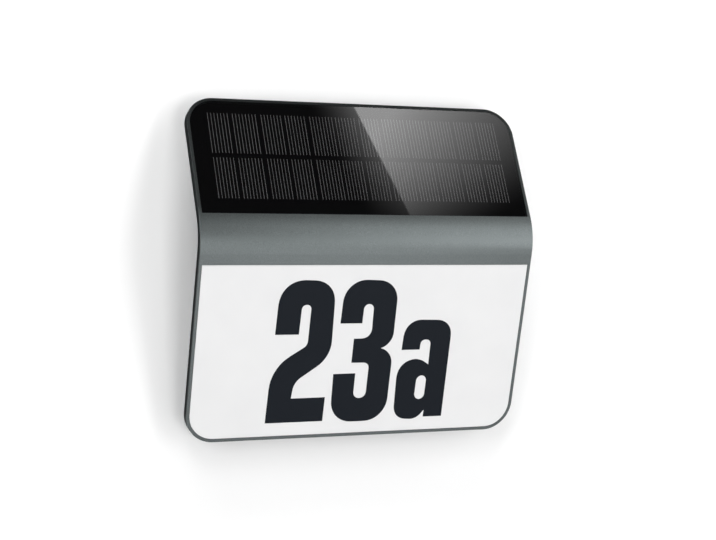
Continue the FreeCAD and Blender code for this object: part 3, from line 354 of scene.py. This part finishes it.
def clear_guide():
    """Clear sheet with a frosted dot pattern on it."""
    shader = Shader("clear_guide")
    keys = {"Vector": shader.place(), "Scale": 1 / DOT_PITCH, "Randomness": 0.0}
    distance = shader.add("TexVoronoi", keys).outputs["Distance"]
    spot = shader.ranged(distance, 1, 0, 0.25, 0.35)
    shader.set(
        Base_color=shader.blend(spot, (0.9, 0.94, 0.95), (0.97, 0.97, 0.97)),
        Roughness=shader.math("MULTIPLY_ADD", spot, 0.5, 0.08),
        Transmission_weight=0.6,
        IOR=1.49,
    )
    return shader.material


# the glass's index sets how strongly its front mirrors, the other is the share of its tint
GLASS_INDEX = 2.27
GLASS_DARK = 0.65


def solar_glass():
    """Polished smoky glass: a mirror on its front over a dark tint, clear from within."""
    shader = Shader("solar_glass")
    haze = shader.noise(14 * MM, 3.0)
    shader.set(
        Base_color=shader.blend(haze, (0.0034, 0.0034, 0.0036), (0.0044, 0.0044, 0.0048)),
        Roughness=shader.ranged(haze, 0.004, 0.012),
        IOR=GLASS_INDEX,
    )
    within = shader.add("NewGeometry").outputs["Backfacing"]
    dark = shader.math("MULTIPLY", shader.math("SUBTRACT", 1.0, within), GLASS_DARK)
    clear = shader.add("BsdfTransparent").outputs[0]
    shader.show(shader.add("MixShader", {0: dark, 1: clear, 2: shader.surface.outputs[0]}))
    return shader.material


# size of a silicon crystal
CRYSTAL = 5 * MM


def solar_cell():
    """Near-black silicon, each crystal a little different."""
    shader = Shader("solar_cell")
    crystal = shader.add("TexVoronoi", {"Vector": shader.place(), "Scale": 1 / CRYSTAL})
    tint = shader.add("SeparateColor", {0: crystal.outputs["Color"]}).outputs[0]
    shader.set(
        Base_color=shader.blend(tint, (0.0004, 0.0004, 0.0006), (0.0012, 0.0013, 0.0017)),
        Roughness=shader.ranged(tint, 0.5, 0.6, 0, 1),
        Specular_ior_level=0.0,
    )
    return shader.material


TRACK_PITCH = 7 * MM


def circuit_board():
    """Green solder mask over a net of tracks, which is turned to lie on the upright board."""
    shader = Shader("circuit_board")
    place = shader.place(Rotation=(math.radians(90), 0, 0))
    keys = {"Vector": place, "Scale": 1 / TRACK_PITCH, "Mortar Size": 0.03}
    track = shader.add("TexBrick", keys).outputs["Fac"]
    fine = shader.noise(0.6 * MM)
    shader.set(
        Base_color=shader.blend(track, (0.012, 0.09, 0.035), (0.03, 0.17, 0.07)),
        Roughness=shader.ranged(fine, 0.25, 0.4),
        Normal=shader.bump(track, 0.03 * MM),
    )
    return shader.material


# how much the noise is drawn out along the grain
DRAWN = 0.06


def brushed(name, colour, grain, along):
    """Metal with a fine drawn grain along one axis."""
    shader = Shader(name)
    stretch = tuple(DRAWN if axis == along else 1.0 for axis in "xyz")
    line = shader.noise(grain, 3.0, stretch)
    stain = shader.noise(4 * MM)
    shader.set(
        Base_color=shader.blend(shader.ranged(line, 0, 1), shade(colour, 0.85), shade(colour, 1.1)),
        Metallic=1.0,
        Roughness=shader.ranged(stain, 0.28, 0.42),
        Normal=shader.bump(line, 0.004 * MM),
    )
    return shader.material


def powder_coat():
    """Black powder coat with a slight orange peel."""
    shader = Shader("bracket_steel")
    peel = shader.noise(0.9 * MM, 1.0)
    speck = shader.noise(0.2 * MM, 2.0)
    dark = (0.028, 0.029, 0.031)
    light = (0.045, 0.046, 0.049)
    shader.set(
        Base_color=shader.blend(shader.ranged(speck, 0, 1), dark, light),
        Roughness=shader.ranged(speck, 0.38, 0.5),
        Normal=shader.bump(peel, 0.03 * MM),
    )
    return shader.material


# of each slot: the two ends of its tone, the size of its grain and the depth of its relief in
# millimetres, and its roughness
SPECKLED = {
    "lamp": dict(
        dark=(0.82, 0.62, 0.2), light=(0.9, 0.74, 0.32), grain=0.15, relief=0.01, rough=(0.3, 0.45)
    ),
    "lead_sleeve": dict(
        dark=(0.36, 0.02, 0.018), light=(0.45, 0.03, 0.025), grain=0.4, relief=0.01,
        rough=(0.4, 0.55),
    ),
    "finger_paste": dict(
        dark=(0.38, 0.38, 0.39), light=(0.52, 0.52, 0.53), grain=0.3, relief=0.0, rough=(0.5, 0.7),
        Specular_ior_level=0.2,
    ),
}


def speckled(name, dark, light, grain, relief, rough, **values):
    """A surface whose tone, gloss and relief follow one grain."""
    shader = Shader(name)
    speck = shader.noise(grain * MM)
    shader.set(
        Base_color=shader.blend(shader.ranged(speck, 0, 1), dark, light),
        Roughness=shader.ranged(speck, *rough),
        **values,
    )
    if relief:
        shader.set(Normal=shader.bump(speck, relief * MM))
    return shader.material


def make_looks():
    """The material of each slot of the record, and the paste of the fingers."""
    looks = {name: grained(name, **values) for name, values in GRAINED.items()}
    looks.update((name, speckled(name, **values)) for name, values in SPECKLED.items())
    looks.update({
        "front_paint": front_paint(),
        "opal": opal(),
        "clear_guide": clear_guide(),
        "solar_glass": solar_glass(),
        "solar_cell": solar_cell(),
        "circuit_board": circuit_board(),
        "bracket_steel": powder_coat(),
        "screw_steel": brushed("screw_steel", (0.62, 0.62, 0.63), 0.12 * MM, "x"),
        "contact_metal": brushed("contact_metal", (0.75, 0.73, 0.68), 0.1 * MM, "z"),
    })
    return looks


def dress_nodes(looks):
    """Give each node the material of its slot."""
    slots = {part["node"]: part["material_slot"] for part in frame["record"]["subparts"]}
    for node, item in NODES.items():
        for slot in item.material_slots:
            slot.material = looks[slots[node]]


# ---------------------------------------------------------------- mesh helpers


def new_piece(name, mesh, look, body):
    """A piece of the object that rides on a body."""
    mesh.name = name
    mesh.materials.clear()
    mesh.materials.append(look)
    item = bpy.data.objects.new(name, mesh)
    bpy.context.scene.collection.objects.link(item)
    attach(item, body)
    return item


def stage_sheet(name, verts, faces, look):
    """A sheet of the stage, which isn't part of the object."""
    mesh = bpy.data.meshes.new(name)
    mesh.from_pydata([tuple(vert) for vert in verts], [], faces)
    mesh.materials.append(look)
    item = bpy.data.objects.new(name, mesh)
    bpy.context.scene.collection.objects.link(item)
    return item


def islands(node):
    """Points of each separate solid of a node, in order from left to right and then upwards."""
    mesh = bmesh.new()
    mesh.from_mesh(NODES[node].data)
    bmesh.ops.remove_doubles(mesh, verts=mesh.verts, dist=SAME_POINT)
    left = set(mesh.verts)
    found = []
    while left:
        reach = [left.pop()]
        part = []
        while reach:
            vert = reach.pop()
            part.append(vert.co.copy())
            near = {edge.other_vert(vert) for edge in vert.link_edges} & left
            left -= near
            reach += near
        found.append(part)
    mesh.free()
    found.sort(key=lambda part: (round(min(p.x for p in part), 5), min(p.z for p in part)))
    return found


# ---------------------------------------------------------------- numerals on the panel

NUMERAL_FILM = dict(
    colour=linear(27, 31, 37), grain=0.4, spread=0.05, depth=0.002, rough=(0.42, 0.5),
    Specular_ior_level=0.06,
)
FILM_THICK = 0.08 * MM
# from the panel's sheet to the edge of its recess
PANEL_GAP = 0.15 * MM
# degrees that a step of a round turns
ARC_STEP = 6
# Outlines of each numeral, the outer one first: how full its rounds are, 2 for arcs and more for
# fuller ones, and its corners in millimetres, across from the panel's middle, down from its top
# edge, and the radius of the round there.
NUMERALS = {
    "numeral_two": [
        (2.3, [
            (-56.0, 41.8, 0), (-41.3, 41.9, 0), (-41.0, 24.0, 3.1), (-35.1, 23.9, 3.1),
            (-35.2, 48.7, 4.8), (-56.5, 62.2, 25), (-57.1, 96.2, 0), (-20.9, 96.2, 0),
            (-20.8, 81.2, 0), (-42.3, 81.3, 0), (-41.4, 71.3, 10.7), (-19.8, 56.1, 18.9),
            (-21.2, 9.7, 15), (-55.5, 8.5, 16.8),
        ]),
    ],
    "numeral_three": [
        (2.08, [
            (-15.9, 35.6, 0), (-2.0, 35.7, 0), (-1.9, 24.4, 3.3), (4.3, 23.3, 3.3),
            (4.9, 45.1, 6), (-6.2, 45.2, 0), (-6.2, 60.1, 0), (5.3, 60.3, 3.6),
            (5.3, 82.6, 4), (-2.8, 82.4, 4), (-2.9, 66.8, 0), (-17.0, 66.9, 0),
            (-16.1, 97.2, 13.9), (19.9, 97.3, 14.5), (19.9, 54.2, 10.0), (11.8, 51.4, 0),
            (19.2, 48.9, 10.0), (18.9, 9.9, 13.2), (-15.4, 8.5, 14.3),
        ]),
    ],
    "letter_a": [
        (2.3, [
            (25.6, 52.9, 0), (37.5, 52.9, 0), (37.7, 46.6, 3.3), (44.3, 46.7, 3.3),
            (44.5, 62.5, 0), (38.8, 58.8, 12.9), (23.9, 59.0, 12.7), (25.1, 96.5, 9.3),
            (40.4, 97.5, 8.7), (45.2, 91.6, 0), (45.1, 96.1, 0), (57.5, 96.1, 0),
            (57.3, 34.6, 11.0), (26.2, 33.8, 11.8),
        ]),
        (1.93, [(37.7, 69.7, 3.4), (44.3, 69.1, 3.4), (44.2, 84.7, 3.4), (37.5, 84.5, 3.4)]),
    ],
}


def rounded(fullness, corners):
    """Points of a closed outline with its corners rounded."""
    places = [Vector((across, -down)) for across, down, radius in corners]
    points = []
    for index, (across, down, radius) in enumerate(corners):
        corner = places[index]
        if radius == 0:
            points.append(corner)
            continue
        back = (places[index - 1] - corner).normalized()
        onward = (places[(index + 1) % len(corners)] - corner).normalized()
        between = back.angle(onward)
        reach = radius / math.tan(between / 2)
        steps = max(2, round(math.degrees(math.pi - between) / ARC_STEP))
        for step in range(steps + 1):
            angle = math.pi / 2 * step / steps
            from_start = 1 - math.sin(angle) ** (2 / fullness)
            from_end = 1 - max(0.0, math.cos(angle)) ** (2 / fullness)
            points.append(corner + back * (reach * from_start) + onward * (reach * from_end))
    return points


def make_numerals():
    """Dark films cut to the outlines, on the front of the panel."""
    look = grained("numeral_film", **NUMERAL_FILM)
    for name, outlines in NUMERALS.items():
        curve = bpy.data.curves.new(name, "CURVE")
        curve.dimensions = "2D"
        curve.fill_mode = "BOTH"
        curve.extrude = FILM_THICK / 2
        for fullness, corners in outlines:
            points = rounded(fullness, corners)
            spline = curve.splines.new("POLY")
            spline.points.add(len(points) - 1)
            for point, place in zip(spline.points, points):
                point.co = (place.x * MM, place.y * MM, 0, 1)
            spline.use_cyclic_u = True
        drawing = bpy.data.objects.new(name + "_outline", curve)
        mesh = bpy.data.meshes.new_from_object(drawing)
        bpy.data.objects.remove(drawing)
        bpy.data.curves.remove(curve)
        mesh.transform(PANEL.matrix(PANEL.height + PANEL_GAP, FILM_THICK / 2))
        new_piece(name, mesh, look, "light_unit")


# ---------------------------------------------------------------- fingers of the solar cells

FINGER_PITCH = 2.0 * MM
FINGER_WIDE = 0.4 * MM
FINGER_INSET = 0.4 * MM
FINGER_LIFT = 0.012 * MM
# how far the fingers lie above the cells' middles, and in each column of cells how many
# millimetres to the right of them, fitted to the photograph. This takes their upper ends, and the
# last finger of each cell, past the cell's edges.
FINGER_RISE = 1.35 * MM
FINGER_SHIFTS = (1.15, 1.25, 1.85, 1.75, 2.35, 1.75, 1.85, 1.9, 1.45, 1.1, 1.35, 1.5)


def finger(middle, low, high):
    """A low ridge on the plane of the cells' fronts: its points and faces."""
    half = FINGER_WIDE / 2
    foot = FINGER_LIFT / 6
    across = [(-half, foot), (-half / 2, FINGER_LIFT), (half / 2, FINGER_LIFT), (half, foot)]
    points = [CELLS.at(middle + x, up, out) for up in (low, high) for x, out in across]
    faces = [(index, index + 1, index + 5, index + 4) for index in range(3)]
    return points, faces


def make_fingers(look):
    """Seven or eight printed fingers to each cell, by its width."""
    cells = islands("solar_cells")
    bottom = CELLS.bottom.dot(CELLS.up)
    verts = []
    faces = []
    for row in range(2):
        for cell, shift in zip(cells[row::2], FINGER_SHIFTS):
            left = min(point.x for point in cell)
            right = max(point.x for point in cell)
            heights = [point.dot(CELLS.up) - bottom for point in cell]
            low = min(heights) + FINGER_INSET + FINGER_RISE
            high = max(heights) - FINGER_INSET + FINGER_RISE
            count = round((right - left) / FINGER_PITCH)
            first = (left + right) / 2 + shift * MM - FINGER_PITCH * (count - 1) / 2
            for index in range(count):
                points, quads = finger(first + FINGER_PITCH * index, low, high)
                faces += [tuple(len(verts) + corner for corner in quad) for quad in quads]
                verts += points
    mesh = bpy.data.meshes.new("cell_fingers")
    mesh.from_pydata([tuple(vert) for vert in verts], [], faces)
    new_piece("cell_fingers", mesh, look, "light_unit")


# ---------------------------------------------------------------- screws

SCREW_SEGMENTS = 48
# degrees from which an edge of a screw stays sharp
SCREW_SHARP = 32
# the crown's profile from its flat top to its edge: share of the radius, share of the height
CROWN = (
    (0.72, 0.0), (0.84, 0.05), (0.93, 0.14), (0.985, 0.27), (1.0, 0.42), (1.0, 0.96), (0.97, 1.0),
)
# the cross recess: half of its length and half of its arms' width as shares of the head's radius,
# its depth as a share of the head's height, and how much of each is left at its floor
CROSS_REACH = 0.60
CROSS_WIDE = 0.13
CROSS_DEEP = 0.62
CROSS_REACH_LEFT = 0.45
CROSS_WIDE_LEFT = 0.8
# the thread: steps in a turn, its depth and the tip's radius as shares of the shank's radius, and
# how many turns it starts below the head
THREAD_STEPS = 6
THREAD_DEEP = 0.2
TIP_WIDE = 0.6
THREAD_START = 0.5


def cross(reach, half):
    """Corners of a cross with two arms."""
    quarter = [(reach, -half), (reach, half), (half, half)]
    turns = [Matrix.Rotation(math.radians(90 * turn), 2) for turn in range(4)]
    return [turn @ Vector(corner) for turn in turns for corner in quarter]


class ScrewMesh:
    """A screw along one direction, its head's top at the start. Sizes come from a plain one."""

    def __init__(self, mesh, points, along):
        self.mesh = mesh
        self.along = along
        self.side = along.orthogonal().normalized()
        self.aside = along.cross(self.side)
        depths = [point.dot(along) for point in points]
        end = max(depths)
        self.start = min(depths)
        tops = [point for point, deep in zip(points, depths) if deep < self.start + SAME_PLANE]
        tips = [point for point, deep in zip(points, depths) if deep > end - SAME_PLANE]
        self.seat = min(deep for deep in depths if deep > self.start + SAME_PLANE) - self.start
        self.long = end - self.start
        middle = sum(tops, Vector()) / len(tops)
        tip_middle = sum(tips, Vector()) / len(tips)
        self.middle = middle - along * middle.dot(along)
        self.radius = max((top - middle).length for top in tops)
        self.shank = max((tip - tip_middle).length for tip in tips)

    def vert(self, across, aside, deep):
        place = self.middle + self.side * across + self.aside * aside
        return self.mesh.verts.new(place + self.along * (self.start + deep))

    def ring(self, deep, radius_at):
        """A ring of points whose radius is a function of the turn."""
        verts = []
        for index in range(SCREW_SEGMENTS):
            turn = index / SCREW_SEGMENTS
            radius = radius_at(turn)
            angle = 2 * math.pi * turn
            verts.append(self.vert(radius * math.cos(angle), radius * math.sin(angle), deep))
        return verts

    def join(self, first, second):
        count = len(first)
        for index in range(count):
            after = (index + 1) % count
            self.mesh.faces.new((first[index], first[after], second[after], second[index]))

    def head(self):
        """Crown with a cross recess. Gives the ring where the shank starts."""
        rings = [
            self.ring(self.seat * deep, lambda turn, share=share: self.radius * share)
            for share, deep in CROWN
        ]
        for first, second in zip(rings, rings[1:]):
            self.join(first, second)
        reach = self.radius * CROSS_REACH
        half = self.radius * CROSS_WIDE
        top = [self.vert(x, y, 0) for x, y in cross(reach, half)]
        sunk = cross(reach * CROSS_REACH_LEFT, half * CROSS_WIDE_LEFT)
        floor = [self.vert(x, y, self.seat * CROSS_DEEP) for x, y in sunk]
        edges = []
        for loop in (rings[0], top):
            for index, vert in enumerate(loop):
                ends = (vert, loop[(index + 1) % len(loop)])
                edges.append(self.mesh.edges.get(ends) or self.mesh.edges.new(ends))
        bmesh.ops.triangle_fill(self.mesh, use_beauty=True, use_dissolve=False, edges=edges)
        self.join(top, floor)
        self.mesh.faces.new(floor)
        return rings[-1]

    def thread_radius(self, deep, pitch):
        """The thread's radius at a depth, as a function of the turn."""
        from_head = (deep - self.seat) / pitch
        from_tip = (self.long - deep) / pitch
        strength = max(0.0, min(1.0, from_head - THREAD_START, from_tip))
        widest = self.shank * min(1.0, TIP_WIDE + (1 - TIP_WIDE) * from_tip)

        def radius_at(turn):
            ridge = 1 - abs(2 * ((deep / pitch - turn) % 1.0) - 1)
            return widest * (1 - THREAD_DEEP * (1 - ridge * strength))

        return radius_at

    def thread(self, pitch, before):
        """Thread from the ring under the head to a short point."""
        length = self.long - self.seat
        count = int(length / (pitch / THREAD_STEPS))
        for index in range(count + 1):
            deep = self.seat + length * index / count
            ring = self.ring(deep, self.thread_radius(deep, pitch))
            self.join(before, ring)
            before = ring
        self.mesh.faces.new(before)


def make_screws(node, along, pitch, look, body):
    """Cross-recess screws in the place of a node's plain ones."""
    screws = bmesh.new()
    for points in islands(node):
        screw = ScrewMesh(screws, points, along)
        screw.thread(pitch, screw.head())
    bmesh.ops.recalc_face_normals(screws, faces=screws.faces)
    mesh = bpy.data.meshes.new(node + "_dressed")
    screws.to_mesh(mesh)
    screws.free()
    for polygon in mesh.polygons:
        polygon.use_smooth = True
    mesh.set_sharp_from_angle(angle=math.radians(SCREW_SHARP))
    item = new_piece(node + "_dressed", mesh, look, body)
    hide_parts(node)


# ---------------------------------------------------------------- the wall

# behind the bracket, so that its back and the wall don't share a plane
WALL_BACK = 0.3 * MM
WALL_HALF = 0.6
# light that the room adds to what the camera sees of the wall
WALL_GLOW = 0.106


def wall_paint():
    """White paint with a slight glow, clear to a camera behind the wall."""
    shader = Shader("wall_paint")
    seen = shader.add("LightPath").outputs["Is Camera Ray"]
    behind = shader.add("NewGeometry").outputs["Backfacing"]
    shader.set(
        Base_color=(0.86, 0.86, 0.86),
        Roughness=0.9,
        Specular_ior_level=0.0,
        Emission_color=(1, 1, 1),
        Emission_strength=shader.math("MULTIPLY", seen, WALL_GLOW),
    )
    clear = shader.add("BsdfTransparent").outputs[0]
    from_behind = shader.math("MULTIPLY", seen, behind)
    shader.show(shader.add("MixShader", {0: from_behind, 1: shader.surface.outputs[0], 2: clear}))
    return shader.material


def make_wall():
    """Wall that only the camera sees, and only from the front. It throws no light back."""
    corners = [(-1, -1), (1, -1), (1, 1), (-1, 1)]
    verts = [(x * WALL_HALF, WALL_BACK, z * WALL_HALF) for x, z in corners]
    wall = stage_sheet("wall", verts, [(0, 1, 2, 3)], wall_paint())
    wall.visible_diffuse = False
    wall.visible_glossy = False
    wall.visible_shadow = False


# ---------------------------------------------------------------- the softbox in the glass

# Where its light lies on the glass, in millimetres to the right of the glass's middle and above
# its lower edge. Its sharp edge is at these places on the glass's top and lower edge, this soft.
EDGE_TOP = 0.7
EDGE_BOTTOM = 24.4
EDGE_SOFT = 1.5
# left of the edge a share of the light spills this far
SPILL = 0.27
SPILL_WIDE = 30.0
# right of it the light is the square of a base that changes across and upwards, up to a peak
SOFTBOX_PEAK = 0.275
FADE_BASE = 0.307
FADE_ACROSS = -0.0034
FADE_UP = 0.0066
FADE_BEND = -0.0000315
# share of the light that the glass mirrors to the camera
GLASS_MIRROR = 0.0985
# the sheet's reach on the glass, its squares along a side, and its place: metres from the glass,
# opposite a point of the glass this far to the right
SOFTBOX_REACH = {"across": (-40.0, 190.0), "up": (-40.0, 170.0)}
SOFTBOX_STEPS = 12
SOFTBOX_FAR = 3.0
SOFTBOX_AIM = 50 * MM


def softbox_light():
    """Light of the softbox by its place in the glass, kept in millimetres in its UV map."""
    shader = Shader("softbox_light")
    parts = shader.add("SeparateXYZ", {0: shader.add("UVMap").outputs[0]})
    across = parts.outputs[0]
    up = parts.outputs[1]
    slope = (EDGE_BOTTOM - EDGE_TOP) / (GLASS.height / MM)
    edge = shader.math("MULTIPLY_ADD", up, -slope, EDGE_BOTTOM)
    past = shader.math("SUBTRACT", across, edge)
    bend = shader.math("MULTIPLY_ADD", up, FADE_BEND, FADE_UP)
    fade = shader.math("MULTIPLY_ADD", up, bend, FADE_BASE)
    fade = shader.math("MULTIPLY_ADD", across, FADE_ACROSS, fade)
    fade = shader.math("MAXIMUM", fade, 0.0)
    level = shader.math("MINIMUM", shader.math("POWER", fade, 2.0), SOFTBOX_PEAK)
    inside = shader.ranged(past, 0.0, 1.0, -EDGE_SOFT / 2, EDGE_SOFT / 2)
    spill = shader.ranged(past, 0.0, math.sqrt(SPILL), -SPILL_WIDE, 0.0)
    mask = shader.math("MAXIMUM", inside, shader.math("MULTIPLY", spill, spill))
    strength = shader.math("DIVIDE", shader.math("MULTIPLY", level, mask), GLASS_MIRROR)
    shader.tree.nodes.remove(shader.surface)
    shader.show(shader.add("Emission", {"Strength": strength}))
    return shader.material


def make_softbox():
    """A sheet of light where the glass mirrors it to the camera, each point by mirror geometry."""
    depth = (CAMERA_PLACE - GLASS.bottom).dot(GLASS.out)
    mirrored = CAMERA_PLACE - GLASS.out * (2 * depth)
    middle = GLASS.at(SOFTBOX_AIM, GLASS.height / 2)
    aim = (middle - mirrored).normalized()
    far = (middle - mirrored).length + SOFTBOX_FAR
    left, right = SOFTBOX_REACH["across"]
    low, high = SOFTBOX_REACH["up"]
    count = SOFTBOX_STEPS + 1
    verts = []
    places = []
    for row in range(count):
        for column in range(count):
            across = left + (right - left) * column / SOFTBOX_STEPS
            up = low + (high - low) * row / SOFTBOX_STEPS
            ray = GLASS.at(across * MM, up * MM) - mirrored
            verts.append(mirrored + ray * (far / ray.dot(aim)))
            places.append((across, up))
    faces = []
    for row in range(SOFTBOX_STEPS):
        for column in range(SOFTBOX_STEPS):
            first = row * count + column
            faces.append((first, first + 1, first + count + 1, first + count))
    box = stage_sheet("softbox", verts, faces, softbox_light())
    box.visible_camera = False
    layer = box.data.uv_layers.new(name="place")
    for loop in box.data.loops:
        layer.data[loop.index].uv = places[loop.vertex_index]


# ---------------------------------------------------------------- lamps and room

# metres: side of each lamp's square, and its distance from the middle of the wall
LAMP_SIZE = 0.9
LAMP_FAR = 3.0
# azimuth to the right of the front, elevation, and power in watts; the last four light the sides
# and the back
LAMPS = {
    "left": (-45, 15, 16.7),
    "left_high": (-25, 42, 15.0),
    "top": (-15, 75, 55.8),
    "front": (0, -10, 19.6),
    "right_low": (25, -25, 7.6),
    "right_level": (32, -5, 13.3),
    "right_above": (32, 12, 10.5),
    "right_high": (32, 28, 6.3),
    "far_right": (65, 35, 13.3),
    "side_left": (-97, 5, 25.0),
    "side_right": (97, 5, 30.0),
    "back_high": (170, 40, 60.0),
    "back_low": (-170, -30, 30.0),
}


def make_lamps():
    """Soft square lamps round the object. Those at the right throw the shadow to the left."""
    for name, (azimuth, elevation, power) in LAMPS.items():
        data = bpy.data.lights.new(name, "AREA")
        data.size = LAMP_SIZE
        data.energy = power
        turn = math.radians(azimuth)
        rise = math.radians(elevation)
        level = math.cos(rise)
        away = Vector((math.sin(turn) * level, -math.cos(turn) * level, math.sin(rise)))
        lamp = bpy.data.objects.new(name, data)
        lamp.location = away * LAMP_FAR
        lamp.rotation_euler = (-away).to_track_quat("-Z", "Y").to_euler()
        bpy.context.scene.collection.objects.link(lamp)


# share of the room's light by height, as the sine of the elevation: a pale floor under dark walls
ROOM_HEIGHTS = ((-1.0, 0.0), (-0.6, 1.0), (-0.25, 0.0), (1.0, 0.0))
ROOM_STRENGTH = 2.18


def make_room():
    """White to the camera. To all else a dark room with a pale floor, brighter at the left."""
    world = bpy.data.worlds.new("room")
    world.use_nodes = True
    bpy.context.scene.world = world
    shader = Shader(tree=world.node_tree)
    place = shader.add("TexCoord").outputs["Generated"]
    parts = shader.add("SeparateXYZ", {0: place})
    height = shader.ranged(parts.outputs[2], 0, 1, -1, 1)
    level = shader.ramp(height, [((sine + 1) / 2, level) for sine, level in ROOM_HEIGHTS])
    side = shader.ranged(parts.outputs[0], ROOM_STRENGTH, 0, -1, 1)
    seen = shader.add("LightPath").outputs["Is Camera Ray"]
    background = shader.find("Background")
    shader.feed((1, 1, 1), background.inputs["Color"])
    strength = shader.math("MAXIMUM", shader.math("MULTIPLY", level, side), seen)
    shader.feed(strength, background.inputs["Strength"])


# ---------------------------------------------------------------- the scene

TO_FRONT = Vector((0, -1, 0))
UP = Vector((0, 0, 1))
# of each node of screws: from the head's top to the tip, millimetres between threads, and body
SCREWS = {
    "housing_screws": (TO_FRONT, 1.1, "light_unit"),
    "door_screws": (TO_FRONT, 0.8, "light_unit"),
    "lock_screw": (UP, 0.7, "lock_screw"),
}

make_camera()
make_wall()
make_softbox()
make_lamps()
make_room()
looks = make_looks()
dress_nodes(looks)
make_numerals()
make_fingers(looks["finger_paste"])
for node, (along, pitch, body) in SCREWS.items():
    make_screws(node, along, pitch * MM, looks["screw_steel"], body)

bpy.context.scene.view_settings.view_transform = "Standard"
